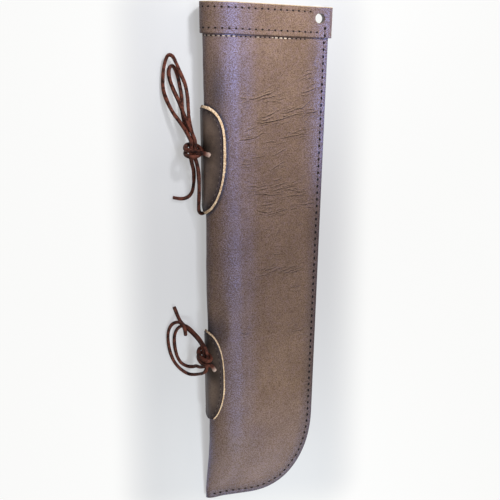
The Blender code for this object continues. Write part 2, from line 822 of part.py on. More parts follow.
def wrap_turns(knot, half_sizes, lean, slope, climb):
    """Turns of lace round the strands of a knot, starting behind them.

    lean turns the section about Y, slope carries its front towards the toe, and each turn
    climbs along Y.
    """
    centre = Vector(knot)
    broad = Vector((math.sin(lean), 0.0, math.cos(lean)))
    flat = Vector((-math.cos(lean), 0.0, math.sin(lean)))
    points = []
    count = int(WRAP_TURNS * WRAP_POINTS)
    for place in range(count + 1):
        turn = place / WRAP_POINTS
        angle = 2 * math.pi * turn
        out = flat * half_sizes[0] * math.sin(angle) - broad * half_sizes[1] * math.cos(angle)
        along = (turn - WRAP_TURNS / 2) * climb - slope * out.z
        points.append(tuple(centre + out + Vector((0.0, along, 0.0))))
    return points


def least_gap(points, diameter):
    """Least clearance of a tube to itself, away from the same bend."""
    fine = resample(points, diameter / 4)
    lengths = arcs_of(fine, 0)
    apart = np.linalg.norm(fine[:, None] - fine[None], axis=2)
    near = np.abs(lengths[:, None] - lengths[None]) < math.pi * diameter
    apart[near] = 1.0
    return apart.min() - diameter


def make_knot(name, start, turns, tail, collection, mat):
    """One unbroken lace: up from the tab, round the strands, and off in a short tail."""
    tail_points = smooth_route([turns[-1], *tail], LACE_DIAMETER)[1:]
    points = [*start, *turns, *[tuple(point) for point in tail_points]]
    print(name, "least gap to itself in mm:", round(least_gap(points, LACE_DIAMETER) * 1000, 2))
    return tube(name, points, collection, mat, KNOT_ROUNDING_STEPS)


def make_laces(collection, mat):
    """Both knotted laces, each in its stretches."""
    upper = wrap_turns(UPPER_KNOT, UPPER_KNOT_HALF_SIZES, UPPER_KNOT_LEAN, UPPER_KNOT_SLOPE, UPPER_KNOT_CLIMB)
    lower = wrap_turns(LOWER_KNOT, LOWER_KNOT_HALF_SIZES, LOWER_KNOT_LEAN, LOWER_KNOT_SLOPE, LOWER_KNOT_CLIMB)
    make_knot("upper_lace_knot", UPPER_KNOT_START, upper, UPPER_KNOT_TAIL, collection, mat)
    make_knot("lower_lace_knot", LOWER_KNOT_START, lower, LOWER_KNOT_TAIL, collection, mat)
    stretches = {
        "upper_lace_lead": UPPER_LEAD,
        "upper_lace_outer_loop": UPPER_OUTER_LOOP,
        "upper_lace_inner_loop": UPPER_INNER_LOOP,
        "upper_lace_tail": UPPER_TAIL,
        "lower_lace_lead": LOWER_LEAD,
        "lower_lace_outer_loop": LOWER_OUTER_LOOP,
        "lower_lace_inner_loop": LOWER_INNER_LOOP,
        "lower_lace_tail": LOWER_RIGHT_STRAND,
    }
    for name, route in stretches.items():
        step = LACE_DIAMETER if name.endswith("lead") else LACE_STEP
        tube(name, smooth_route(route, step), collection, mat)


def main():
    holder, cutters = clear_scene()
    leather = material("brown_leather", (0.26, 0.19, 0.17), 0.42)
    tab_leather = material("olive_leather", (0.17, 0.13, 0.11), 0.5)
    lining = material("tan_lining", (0.55, 0.40, 0.27), 0.75)
    dark_thread = material("dark_thread", (0.06, 0.04, 0.035), 0.7)
    pale_thread = material("pale_thread", (0.45, 0.37, 0.28), 0.7)
    lace = material("red_brown_lace", (0.20, 0.09, 0.07), 0.55)

    sheath = make_sheath(holder, leather)
    band = make_band(holder, leather)
    make_facing(holder, lining)
    hole_place = (RIGHT_X - HOLE_FROM_SEAM, TOP_Y - MOUTH_FALL - HOLE_FROM_MOUTH, DEPTH / 2)
    punch = drill("hang_hole_cutter", HOLE_DIAMETER, DEPTH + 2 * CUT_OVERRUN, hole_place, (0, 0, 1), cutters)
    cut(sheath, punch)
    cut(band, punch)

    upper = (UPPER_TAB_Y, UPPER_TAB_UP, UPPER_TAB_DOWN, UPPER_TAB_HALF_WIDTH, UPPER_TAB_POWER)
    lower = (LOWER_TAB_Y, LOWER_TAB_UP, LOWER_TAB_DOWN, LOWER_TAB_HALF_WIDTH, LOWER_TAB_POWER)
    upper_tab = make_tab("upper_tab", upper, holder, tab_leather)
    lower_tab = make_tab("lower_tab", lower, holder, tab_leather)
    for tab, ys in ((upper_tab, (UPPER_HOLE_Y,)), (lower_tab, LOWER_HOLE_YS)):
        for y in ys:
            place = (spine_x(y) - TAB_LEATHER / 2 - GAP, y, LACE_HOLE_HEIGHT)
            length = TAB_LEATHER + CUT_OVERRUN
            cut(tab, drill("lace_hole_cutter", LACE_HOLE_DIAMETER, length, place, (1, 0, 0), cutters))

    make_seam_threads(sheath, band, holder, dark_thread)
    make_mouth_threads(sheath, band, holder, dark_thread)
    make_tab_thread("upper_tab_thread", upper_tab, upper, holder, pale_thread)
    make_tab_thread("lower_tab_thread", lower_tab, lower, holder, pale_thread)
    make_laces(holder, lace)


main()
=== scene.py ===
"""The visual model of a leather bass bow holder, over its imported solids."""
import functools
import math

import bmesh
import bpy
import numpy as np
from mathutils import Matrix, Vector
from mathutils.bvhtree import BVHTree


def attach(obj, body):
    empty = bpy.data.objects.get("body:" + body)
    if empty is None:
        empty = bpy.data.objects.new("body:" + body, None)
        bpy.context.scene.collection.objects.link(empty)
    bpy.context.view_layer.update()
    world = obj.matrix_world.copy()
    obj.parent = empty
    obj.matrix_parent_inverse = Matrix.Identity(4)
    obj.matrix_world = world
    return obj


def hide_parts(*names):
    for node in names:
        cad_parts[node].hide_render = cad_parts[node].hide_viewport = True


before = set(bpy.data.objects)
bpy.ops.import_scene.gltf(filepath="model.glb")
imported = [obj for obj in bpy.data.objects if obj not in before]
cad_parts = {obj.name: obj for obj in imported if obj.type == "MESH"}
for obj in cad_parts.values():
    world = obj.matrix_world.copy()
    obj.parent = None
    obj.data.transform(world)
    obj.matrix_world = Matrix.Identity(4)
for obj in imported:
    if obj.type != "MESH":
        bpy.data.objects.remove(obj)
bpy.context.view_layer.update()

SCENE = bpy.context.scene

# Sizes of the solids, in metres; FINE_DROP and the tabs' powers differ from theirs a little
GAP = 0.0003
BODY_LENGTH = 0.457
MOUTH_WIDTH = 0.114
MOUTH_FALL = 0.004
SEAM_DRAW = 0.0118
SPINE_DRAW = 0.0035
LEATHER = 0.002
DEPTH = 0.026
FLANGE = 0.009
SPINE_OVER = 0.024
SPINE_UNDER = 0.011
SPINE_LEVEL_SHARE = 0.47
SWELL_POWER = 1.35
FLATTEN_LENGTH = 0.075
FLATTEN_SPREAD = 0.002
FOLD_ROOM = 0.0018
FOLD_RUN = 0.012
TOE_HEIGHT = 0.0815
TOE_FLAT = 0.0405
TOE_RISE = 0.0025
TOE_SIDE_HANDLE = 0.045
TOE_END_HANDLE = 0.038
TOE_DROP_START = 0.073
TOE_DROP_RUN = 0.050
BAND_LEATHER = 0.002
BAND_HEIGHT = 0.0265
FACING_LEATHER = 0.0012
FACING_HEIGHT = 0.034
FACING_RECESS = 0.0005
FACING_GAP = 0.0006
FACING_STOP = 0.013
HOLE_DIAMETER = 0.008
HOLE_FROM_SEAM = 0.009
HOLE_FROM_MOUTH = 0.0095
TAB_LEATHER = 0.0016
TUNNEL_CORNER = 0.0038
TAB_BACK_REACH = 0.060
STITCH_HEIGHT = 0.0006
SEAM_PITCH = 0.0061
SEAM_INSET = 0.0036
SEAM_START = 0.0205
SEAM_END = 0.006
BAND_INSET = 0.0045
UPPER_ROW_STOP = 0.018
LOWER_ROW_STOP = 0.011
FINE_PITCH = 0.0044
FINE_DROP = 0.0017
FINE_ROW_STOP = 0.022
TAB_PITCH = 0.0056
# Each tab: centre, reach up, reach down, half width, (power up, power down)
UPPER_TAB = (0.104, 0.037, 0.058, 0.0245, (2.7, 2.1))
LOWER_TAB = (-0.108, 0.047, 0.040, 0.0205, (2.6, 2.0))

TOP_Y = BODY_LENGTH / 2
BOTTOM_Y = -TOP_Y
LEFT_X = -MOUTH_WIDTH / 2
RIGHT_X = MOUTH_WIDTH / 2
STRAIGHT = BODY_LENGTH - TOE_HEIGHT
ROW_RUN = STRAIGHT - MOUTH_FALL
FLANGE_LEVEL = LEATHER + GAP
FULL_CROWN = DEPTH - LEATHER
REST_LEVEL = GAP + STITCH_HEIGHT
BACK_LEVEL = REST_LEVEL + max(BAND_LEATHER, TAB_LEATHER) + GAP + LEATHER / 2
TOE_LEVEL = REST_LEVEL + LEATHER / 2
TAB_LIFT = LEATHER / 2 + GAP + TAB_LEATHER / 2
SEAM_TOP = np.array((RIGHT_X, TOP_Y - MOUTH_FALL))
SEAM_FOOT = np.array((RIGHT_X - SEAM_DRAW, BOTTOM_Y + TOE_HEIGHT))
HOLE_PLACE = (RIGHT_X - HOLE_FROM_SEAM, TOP_Y - MOUTH_FALL - HOLE_FROM_MOUTH)

# The visual model's own shape
TINY = 1e-9
RISE_START = 0.0020
RISE_EASE = 0.0070
CROWN_EASE = 0.15
CREASE_LIFT = 0.00110
CREASE_HALF_WIDTH = 0.00038
CREASE_STEP = 0.0015
CREASES_BESIDE = 8
LOOSE_CREASES = 90
DENT = (-0.047, -0.054, 0.024)
DENT_REACH = (0.012, 0.030, 0.014)
DENT_DEPTH = 0.0026
SEAM_PULL = 0.00018
SEAM_PULL_REACH = 0.0013
BAND_PULL = 0.00016
BAND_PULL_REACH = 0.0014
SOFT_EDGE = 0.00045
HOLE_ROOM = 0.0004
LACE_STEP = 0.0008
LACE_SIDES = 16
LACE_SQUARENESS = 3.2
FRAY_LENGTH = 0.005
TAB_EDGE_STEP = 0.0011
STITCH_RINGS = 7
STITCH_SIDES = 7
STITCH_SINK = 0.00018
HOLE_SIDES = 10

# Mesh steps of the back, under the spine, over it, of the front and of the flange
FINE = (12, 30, 48, 60, 6)
SHEATH_STEPS = (34, 18, 34, 124, 9)
BAND_STEPS = (40, 20, 36, 90, 9)
# Rows of the sheath: start, end and count of each stretch, finest where it is creased
SHEATH_ROWS = ((0.0, 0.14, 33), (0.14, 0.82, 640), (0.82, 1.0, 42), (1.0, 2.0, 64))

# Where the leather is polished or worn, and where shade is painted on it
CROWN_POLISH = 0.026
SEAM_POLISH = 0.027
SEAM_POLISH_START = 0.045
SEAM_POLISH_RUN = 0.055
TOE_POLISH_START = -0.120
TOE_POLISH_RUN = 0.070
HANDLED_YS = (-0.16, -0.05, 0.01, 0.07, 0.12, 0.17)
HANDLED = (0.9, 0.6, 0.6, 0.5, 0.57, 1.1)
WORN_EDGE = 0.0016
# painted shade along the lower seam margin, in a pinch above the lower tab and on the flank above the
# upper tab
SEAM_SHADE = 0.014
PINCH_SHADE = (-0.0530, -0.062, 0.016)
PINCH_SHADE_REACH = 0.026
FLANK_SHADE = (-0.0460, 0.152, 0.0235)
FLANK_SHADE_REACH = (0.0115, 0.044, 0.018)
TAB_SHADE = 0.0040
# The sheath's part that a tab can shade: half its length, its right side and its lowest place
SHADE_SPAN = 0.062
SHADE_RIGHT = -0.022
SHADE_FLOOR = 0.004
# The world's light, and the part of the floor that painted shade keeps greyer
WORLD_LEVEL = 0.14
HOLDER_MIDDLE = -0.020
HOLDER_SIDE = 0.075
HOLDER_END = 0.215

# Laces, in millimetres: wraps as (place, half sizes, lean, slope, climb), then routes
WRAP_TURNS = 1.5
WRAP_POINTS = 14
UPPER_WRAP = ((-66.2, 102.2, 19.0), (7.0, 7.5), math.radians(-17), 0.45, 5.0)
LOWER_WRAP = ((-59.0, -82.6, 26.2), (4.6, 6.4), math.radians(38.5), 0.6, -4.4)
UPPER_KNOT_START = [
    (-62.3, 101.6, 9.5), (-63.4, 101.9, 10.7),
]
UPPER_KNOT_TAIL = [
    (-64.0, 102.5, 27.9), (-60.8, 101.8, 28.7), (-57.6, 100.6, 28.3), (-53.2, 98.8, 26.8),
]
UPPER_OUTER_LOOP = [
    (-67.85, 103.7, 19.05), (-67.85, 110.0, 19.05), (-70.2, 115.5, 17.1), (-73.2, 121.2, 14.3),
    (-77.2, 127.5, 11.3), (-82.0, 134.5, 8.3), (-86.6, 144.0, 5.4), (-89.6, 154.5, 2.5),
    (-89.6, 166.0, 1.8), (-88.2, 176.0, 2.8), (-85.4, 183.2, 4.9), (-81.6, 182.6, 6.7),
    (-78.0, 175.5, 7.3), (-74.4, 167.0, 6.9), (-70.8, 158.0, 6.3), (-69.0, 148.0, 5.9),
    (-68.5, 138.0, 6.5), (-68.1, 128.5, 8.5), (-67.0, 120.5, 11.5), (-65.6, 114.5, 14.1),
    (-64.55, 110.0, 15.75), (-64.55, 103.7, 15.75),
]
UPPER_INNER_LOOP = [
    (-64.55, 103.7, 19.05), (-64.55, 110.0, 19.05), (-66.2, 115.5, 17.9), (-68.6, 121.5, 15.5),
    (-71.6, 129.0, 12.7), (-74.3, 136.5, 10.1), (-77.0, 144.5, 7.7), (-80.4, 152.5, 5.4),
    (-83.4, 161.0, 3.0), (-84.6, 168.5, 2.0), (-83.4, 173.4, 1.8), (-80.2, 173.8, 1.8),
    (-76.8, 165.5, 1.8), (-74.9, 156.5, 1.8), (-73.7, 148.0, 1.9), (-73.6, 139.5, 2.8),
    (-73.0, 131.0, 5.1), (-71.6, 123.0, 8.7), (-69.8, 116.0, 12.7), (-67.85, 110.0, 15.75),
    (-67.85, 103.7, 15.75),
]
UPPER_TAIL = [
    (-67.85, 103.3, 15.75), (-67.9, 97.0, 15.75), (-67.0, 91.2, 14.8), (-65.3, 85.0, 12.6),
    (-64.6, 78.0, 9.7), (-64.7, 70.5, 6.6), (-65.8, 64.0, 3.8), (-69.3, 59.4, 2.0),
    (-75.0, 58.0, 1.8), (-82.5, 59.2, 1.8),
]
UPPER_LEAD = [
    (-64.55, 103.3, 15.75), (-64.55, 97.0, 15.8), (-63.0, 91.0, 17.0), (-61.8, 84.0, 17.8),
    (-61.2, 74.0, 17.6), (-61.0, 64.0, 15.6), (-60.9, 57.0, 12.6), (-60.6, 51.2, 9.5),
    (-59.8, 46.8, 7.0), (-57.3, 44.7, 5.6), (-54.6, 46.2, 5.3), (-52.9, 50.8, 5.3),
    (-52.7, 57.0, 5.1), (-53.1, 70.0, 5.2), (-53.4, 83.0, 5.2), (-53.6, 92.8, 5.1),
    (-53.6, 97.0, 5.4), (-53.8, 99.4, 5.9), (-55.2, 100.6, 6.4), (-57.6, 100.6, 6.5),
    (-59.7, 100.9, 7.1), (-61.9, 101.5, 9.1),
]
LOWER_KNOT_START = [
    (-59.7, -76.7, 17.3), (-61.1, -76.2, 19.3),
]
LOWER_KNOT_TAIL = [
    (-53.0, -90.3, 30.3), (-51.6, -92.6, 29.3), (-50.3, -95.0, 28.7),
]
LOWER_TAIL = [
    (-59.5, -84.8, 24.4), (-59.5, -78.5, 24.4), (-60.2, -73.8, 22.1), (-62.5, -70.1, 16.5),
    (-65.6, -67.0, 10.7), (-69.0, -63.7, 6.3), (-72.4, -60.6, 3.2), (-75.7, -57.3, 1.9),
    (-78.6, -52.8, 1.8), (-80.9, -47.0, 1.8), (-83.0, -41.2, 1.8),
]
LOWER_INNER_LOOP = [
    (-57.3, -84.8, 27.1), (-57.3, -78.5, 27.1), (-59.2, -72.8, 25.6), (-63.1, -66.9, 19.9),
    (-66.4, -63.3, 14.9), (-70.0, -59.8, 10.7), (-73.9, -57.7, 7.7), (-78.0, -58.6, 5.9),
    (-81.0, -62.0, 3.6), (-82.9, -67.5, 1.9), (-83.3, -74.0, 1.8), (-82.5, -81.5, 1.8),
    (-80.7, -88.5, 1.8), (-77.4, -94.4, 1.8), (-72.4, -97.6, 2.5), (-67.6, -97.4, 6.3),
    (-64.8, -95.2, 11.7), (-63.4, -94.2, 17.3), (-61.4, -93.4, 21.5), (-59.5, -91.5, 24.4),
    (-59.5, -85.2, 24.4),
]
LOWER_OUTER_LOOP = [
    (-57.3, -85.2, 27.1), (-57.3, -91.5, 27.1), (-58.2, -96.6, 24.5), (-60.3, -100.0, 19.5),
    (-62.5, -102.4, 13.7), (-65.6, -104.4, 8.3), (-69.6, -105.2, 4.3), (-74.0, -103.6, 2.0),
    (-78.8, -99.6, 1.8), (-83.0, -94.2, 1.8), (-86.2, -87.2, 1.8), (-88.2, -79.5, 1.8),
    (-89.1, -71.0, 1.8), (-88.5, -63.6, 1.8), (-86.0, -58.2, 2.3), (-82.4, -55.2, 4.3),
    (-78.8, -54.4, 8.3), (-76.0, -56.8, 11.9), (-74.6, -61.0, 11.9), (-73.8, -66.0, 9.3),
]
LOWER_LEAD = [
    (-59.5, -76.7, 16.5), (-59.2, -76.8, 12.9), (-59.1, -77.5, 9.7), (-58.5, -78.6, 7.4),
    (-57.0, -79.0, 6.6), (-54.6, -79.0, 6.5), (-52.7, -79.7, 6.2), (-52.1, -82.0, 5.8),
    (-52.1, -86.8, 5.6), (-52.1, -92.0, 5.6), (-52.1, -95.4, 6.0), (-53.3, -97.1, 6.4),
    (-56.0, -97.2, 6.5), (-57.5, -97.2, 6.7), (-58.8, -97.1, 7.5), (-59.1, -96.6, 10.1),
    (-59.0, -95.4, 13.9), (-58.8, -93.8, 17.5),
]

# Creases of the front: strength, then places in millimetres
CREASES = [
    (1.0, [(-20.1, 146.1), (-13.6, 147.1), (-9.0, 148.4), (-3.4, 150.5), (1.2, 151.6), (5.0, 153.8)]),
    (0.5, [(-26.5, 142.8), (-22.8, 144.1), (-18.2, 145.7)]),
    (0.4, [(-28.3, 148.5), (-23.7, 147.7), (-20.1, 147.0)]),
    (0.7, [(-7.1, 146.8), (-3.4, 147.4), (0.3, 147.9), (3.1, 148.7), (7.9, 148.6)]),
    (0.4, [(5.0, 145.6), (10.7, 145.9), (16.5, 147.5)]),
    (1.2, [(10.8, 133.8), (17.6, 134.4), (22.4, 136.0), (27.3, 137.5), (32.2, 138.0), (34.2, 139.7),
           (38.1, 143.1), (42.1, 145.6)]),
    (1.2, [(-12.7, 126.8), (-6.1, 126.1), (-0.5, 126.8), (5.2, 127.5), (10.9, 128.5), (15.7, 129.8),
           (19.6, 131.1), (24.4, 132.3), (30.3, 132.8), (34.3, 133.8)]),
    (0.8, [(34.3, 133.4), (39.3, 133.4), (46.2, 134.3), (50.8, 134.4)]),
    (0.6, [(28.4, 129.3), (32.3, 129.9), (35.3, 132.1)]),
    (0.8, [(-11.7, 130.3), (-5.2, 130.9), (0.4, 132.9), (4.2, 134.5), (7.0, 136.5), (10.8, 137.2)]),
    (1.0, [(30.1, 151.1), (34.0, 151.5), (37.9, 152.6), (41.9, 154.1), (46.8, 155.6)]),
    (0.7, [(32.8, 165.9), (36.7, 167.6), (41.7, 168.4)]),
    (0.7, [(44.6, 173.3), (50.2, 174.5)]),
    (0.8, [(10.1, 111.9), (15.9, 112.6), (21.7, 113.8), (27.6, 114.0), (30.5, 115.2), (38.6, 114.6)]),
    (0.5, [(19.7, 115.1), (25.6, 116.8), (30.5, 118.3), (37.5, 119.1)]),
    (0.7, [(-28.5, 111.8), (-21.0, 112.3), (-15.4, 112.9), (-9.8, 115.3), (-5.2, 117.8)]),
    (0.5, [(-23.8, 118.9), (-17.3, 121.2), (-11.7, 123.6)]),
    (0.8, [(0.7, 83.7), (4.5, 86.6), (8.3, 88.5), (12.2, 90.7), (16.0, 92.2)]),
    (0.6, [(1.5, 96.9), (6.3, 98.0), (12.1, 100.8), (16.9, 102.8)]),
    (0.6, [(-21.0, 70.9), (-15.4, 71.1), (-9.7, 70.2), (-6.0, 70.9), (-1.2, 71.9)]),
    (0.8, [(-0.2, 69.1), (3.6, 69.4), (7.5, 70.6), (12.3, 71.5), (18.2, 73.0)]),
    (0.6, [(-11.6, 67.7), (-5.9, 67.9), (-1.2, 69.2)]),
    (0.7, [(-16.3, 63.0), (-10.7, 64.1), (-5.0, 63.9), (-0.2, 62.5), (3.7, 62.4), (7.5, 62.4),
           (12.4, 63.5)]),
    (0.7, [(2.7, 65.7), (9.4, 67.1), (15.3, 68.1), (21.2, 68.6), (26.2, 70.1)]),
    (0.6, [(13.4, 65.6), (19.3, 66.1), (25.2, 64.4), (32.3, 62.9), (39.4, 63.2)]),
    (0.7, [(9.5, 58.6), (15.4, 59.6), (20.3, 60.2), (25.3, 60.2), (31.3, 60.3), (37.4, 62.0)]),
    (0.6, [(-9.7, 53.7), (-4.0, 53.8), (0.8, 54.2), (6.6, 55.2)]),
    (0.7, [(30.4, 51.2), (36.5, 51.1), (40.6, 52.1), (46.4, 52.0)]),
    (0.9, [(-3.0, 44.8), (1.8, 45.3), (6.7, 46.2), (12.5, 47.6), (19.4, 48.5)]),
    (0.6, [(-10.6, 49.3), (-5.9, 47.7), (-0.1, 46.7), (3.7, 47.9)]),
    (0.5, [(21.4, 47.8), (28.4, 48.5)]),
    (0.9, [(-10.5, -10.3), (-4.7, -9.4), (0.1, -8.0), (5.0, -6.7), (9.0, -5.3), (13.0, -4.8),
           (18.0, -3.8)]),
    (1.0, [(9.0, -8.8), (14.0, -7.7), (19.0, -6.4), (23.0, -5.3), (29.1, -4.3)]),
    (0.8, [(15.0, -10.2), (20.0, -8.9), (25.1, -7.8), (30.2, -7.1), (35.3, -6.0)]),
    (0.6, [(-3.8, -5.4), (2.1, -4.6), (8.0, -2.9)]),
    (0.5, [(21.2, -24.1), (28.4, -24.4), (32.5, -23.0)]),
    (0.6, [(22.7, -66.5), (29.9, -66.6), (37.3, -66.2)]),
    (0.5, [(19.6, -62.2), (24.7, -61.6), (28.8, -59.7)]),
    (0.5, [(-27.1, -59.9), (-22.2, -62.4), (-16.3, -61.1)]),
    (0.5, [(-6.1, 108.2), (1.5, 109.7), (7.2, 108.9)]),
    (0.4, [(-17.3, 95.6), (-10.7, 96.2), (-4.2, 97.3)]),
    (0.4, [(-26.6, 91.8), (-21.0, 90.2), (-15.4, 91.5)]),
    (0.4, [(27.1, 73.6), (31.1, 74.6), (36.1, 76.7)]),
    (0.4, [(4.0, 9.4), (7.9, 7.8), (11.9, 8.7)]),
]


# Camera

CAMERA_TARGET = Vector((-0.0145, 0.01083, 0.0109))
CAMERA_TILT = math.radians(11.5)
CAMERA_YAW = math.radians(11.0)
CAMERA_DISTANCE = 0.894
CAMERA_LENS = 71.28
CAMERA_SENSOR = 36


def make_camera():
    """The photograph's view: from above, a little to the spine's side and the mouth's."""
    level = math.cos(CAMERA_TILT)
    back = Vector((-math.sin(CAMERA_YAW) * level, math.sin(CAMERA_TILT), math.cos(CAMERA_YAW) * level))
    up = (Vector((0, 1, 0)) - back * back.y).normalized()
    turn = Matrix((up.cross(back), up, back)).transposed().to_4x4()
    turn.translation = CAMERA_TARGET + back * CAMERA_DISTANCE
    data = bpy.data.cameras.new("camera")
    data.sensor_width = CAMERA_SENSOR
    data.lens = CAMERA_LENS
    obj = bpy.data.objects.new("camera", data)
    obj.matrix_world = turn
    SCENE.collection.objects.link(obj)
    SCENE.camera = obj


# Materials

class Nodes:
    """Short ways to build the node tree of a material or world."""

    def __init__(self, owner):
        owner.use_nodes = True
        self.tree = owner.node_tree

    def node(self, kind, **settings):
        made = self.tree.nodes.new(kind)
        for key, value in settings.items():
            setattr(made, key, value)
        return made

    def put(self, socket, value):
        if isinstance(value, bpy.types.NodeSocket):
            self.tree.links.new(value, socket)
        elif isinstance(value, tuple) and len(socket.default_value) == 4:
            socket.default_value = (*value, 1.0)
        else:
            socket.default_value = value

    def fed(self, kind, inputs, output=0, **settings):
        """One output of a new node whose inputs are set or linked."""
        made = self.node(kind, **settings)
        for key, value in inputs.items():
            self.put(made.inputs[key], value)
        return made.outputs[output]


class Shader(Nodes):
    """A material whose colour is laid down in layers."""

    def __init__(self, name, color):
        self.color = color
        self.material = bpy.data.materials.new(name)
        super().__init__(self.material)
        self.surface = self.tree.nodes["Principled BSDF"]
        self.place = self.node("ShaderNodeTexCoord").outputs["Object"]

    def math(self, operation, first, second=0.0, third=0.0):
        return self.fed("ShaderNodeMath", {0: first, 1: second, 2: third}, operation=operation)

    def length(self, first, second):
        squares = self.math("POWER", first, 2.0), self.math("POWER", second, 2.0)
        return self.math("SQRT", self.math("ADD", *squares))

    def past(self, value, limit):
        """How far a value lies outside plus or minus a limit."""
        over = self.math("SUBTRACT", self.math("ABSOLUTE", value), limit)
        return self.math("MAXIMUM", over, 0.0)

    def shifted(self, shift):
        return self.fed("ShaderNodeMapping", {"Vector": self.place, "Location": shift})

    def noise(self, scale, detail=2.0, roughness=0.5, place=None):
        return self.fed("ShaderNodeTexNoise", {"Vector": place or self.place, "Scale": scale,
                                               "Detail": detail, "Roughness": roughness}, "Fac")

    def cells(self, scale):
        return self.fed("ShaderNodeTexVoronoi", {"Vector": self.place, "Scale": scale}, "Distance",
                        feature="SMOOTH_F1")

    def span(self, value, low, high, start=0.0, end=1.0, kind="SMOOTHSTEP"):
        return self.fed("ShaderNodeMapRange", {"Value": value, "From Min": low, "From Max": high,
                                               "To Min": start, "To Max": end}, interpolation_type=kind)

    def mix(self, share, first, second):
        return self.fed("ShaderNodeMix", {0: share, 6: first, 7: second}, 2, data_type="RGBA")

    def tint(self, share, color):
        self.color = self.mix(share, self.color, color)

    def tone(self, pattern, low, high, color, share=1.0):
        """Tint where a pattern runs from low to high."""
        self.tint(self.span(pattern, low, high, 0.0, share), color)

    def wear(self, mask, share, color):
        """Tint where one of the mesh's own masks is set."""
        self.tint(self.math("MULTIPLY", self.attribute(mask), share), color)

    def bump(self, height, strength, distance, before=None):
        inputs = {"Height": height, "Strength": strength, "Distance": distance}
        if before:
            inputs["Normal"] = before
        return self.fed("ShaderNodeBump", inputs)

    def axis(self, index):
        return self.fed("ShaderNodeSeparateXYZ", {0: self.place}, index)

    def attribute(self, name):
        return self.node("ShaderNodeAttribute", attribute_name=name).outputs["Fac"]

    def finish(self, **values):
        for key, value in {"Base_Color": self.color, **values}.items():
            self.put(self.surface.inputs[key.replace("_", " ")], value)
        return self.material


def leather_material():
    """Brown glazed leather with a violet sheen: pebbled grain, mottling, painted shade in crease
    hollows and painted highlight on crease crests.
    """
    shader = Shader("sheath_leather", (0.192, 0.121, 0.074))
    mottle = shader.noise(34.0, 4.0, 0.6)
    patch = shader.noise(13.0, 2.0, 0.5)
    fleck = shader.noise(1100.0, 2.0, 0.6)
    tint = shader.noise(300.0, 2.0, 0.6, shader.shifted((0.3, 0.1, 0.2)))
    shader.tone(mottle, 0.30, 0.72, (0.254, 0.164, 0.106))
    shader.tone(patch, 0.50, 0.74, (0.245, 0.155, 0.105), 0.40)
    shader.tone(tint, 0.42, 0.70, (0.245, 0.160, 0.150), 0.45)
    shader.tone(fleck, 0.42, 0.62, (0.080, 0.050, 0.036), 0.70)
    # painted shade in the crease hollows and painted highlight on the crease crests
    shader.wear("crease_shade", 1.0, (0.042, 0.025, 0.022))
    shader.wear("crease_highlight", 0.58, (0.370, 0.260, 0.185))
    # painted shade along the lower seam margin, in a pinch above the lower tab, on the flank above the
    # upper tab and beside the tabs
    shader.wear("painted_shade", 0.75, (0.060, 0.046, 0.044))
    # darker at the sewn edge as edge wear, and along the band's lower edge as painted shade
    shader.wear("edge", 0.75, (0.055, 0.038, 0.040))
    normal = shader.bump(shader.noise(75.0, 3.0, 0.5), 0.20, 0.0010)
    normal = shader.bump(shader.noise(820.0, 3.0, 0.65), 0.90, 0.0005, normal)
    normal = shader.bump(shader.cells(900.0), 0.40, 0.0003, normal)
    rough = shader.span(shader.noise(90.0, 3.0), 0.3, 0.7, 0.39, 0.46)
    polish = shader.math("MULTIPLY_ADD", shader.attribute("rubbed"), 0.82, 0.12)
    glaze = shader.math("MULTIPLY", polish, shader.span(fleck, 0.38, 0.62, 1.6, 0.30))
    return shader.finish(Roughness=rough, Normal=normal, IOR=2.1,
                         Specular_IOR_Level=glaze, Specular_Tint=(0.42, 0.50, 1.0))


def raw_edge_material(name, pale, dark):
    """A cut leather edge: pale fibres with darker flecks."""
    shader = Shader(name, dark)
    fibre = shader.noise(700.0, 4.0, 0.75)
    shader.tone(fibre, 0.34, 0.62, pale)
    shader.tone(shader.noise(240.0, 2.0, 0.6), 0.50, 0.72, dark, 0.6)
    return shader.finish(Roughness=0.9, Normal=shader.bump(fibre, 0.9, 0.0009))


def tab_material():
    """Darker brown leather, with painted shadow of the knot and lace strands round the lace."""
    shader = Shader("tab_leather", (0.122, 0.083, 0.058))
    mottle = shader.noise(60.0, 4.0, 0.6)
    fleck = shader.noise(620.0, 3.0, 0.7)
    shader.tone(mottle, 0.3, 0.7, (0.196, 0.135, 0.096))
    shader.tone(fleck, 0.42, 0.75, (0.060, 0.042, 0.034), 0.5)
    shader.wear("rim", 0.75, (0.034, 0.025, 0.024))
    shader.wear("lace_shadow", 0.95, (0.010, 0.008, 0.008))
    # painted shade in the crease just inside the tab's cut edge
    shader.wear("edge", 1.0, (0.020, 0.011, 0.008))
    normal = shader.bump(shader.noise(110.0, 3.0), 0.35, 0.0010)
    normal = shader.bump(shader.cells(560.0), 0.35, 0.0004, normal)
    normal = shader.bump(shader.noise(1300.0, 3.0, 0.7), 0.30, 0.0003, normal)
    rough = shader.span(mottle, 0.3, 0.7, 0.45, 0.58)
    # less reflection where the lace shadow is painted, keeping it dark
    shine = shader.math("MULTIPLY_ADD", shader.attribute("lace_shadow"), -0.42, 0.50)
    return shader.finish(Roughness=rough, Normal=normal, Specular_IOR_Level=shine,
                         Specular_Tint=(0.80, 0.78, 1.0))


def lining_material():
    """The flesh side of the leather, napped and tan."""
    shader = Shader("lining", (0.26, 0.17, 0.11))
    nap = shader.noise(500.0, 4.0, 0.7)
    shader.tone(nap, 0.3, 0.7, (0.42, 0.30, 0.20))
    return shader.finish(Roughness=0.95, Normal=shader.bump(nap, 0.5, 0.0006))


def thread_material(name, pale, dark, far_color=None):
    """Waxed twisted thread, darker in patches away from the spine where asked."""
    shader = Shader(name, dark)
    twist = shader.noise(2600.0)
    shader.tone(twist, 0.3, 0.7, pale)
    # paler near the spine and in patches, darker elsewhere
    if far_color:
        paler = shader.math("MAXIMUM", shader.span(shader.axis(0), -0.038, -0.028, 1.0, 0.0),
                            shader.span(shader.noise(70.0), 0.50, 0.60))
        shader.color = shader.mix(paler, far_color, shader.color)
    return shader.finish(Roughness=0.55, Normal=shader.bump(twist, 0.4, 0.0002))


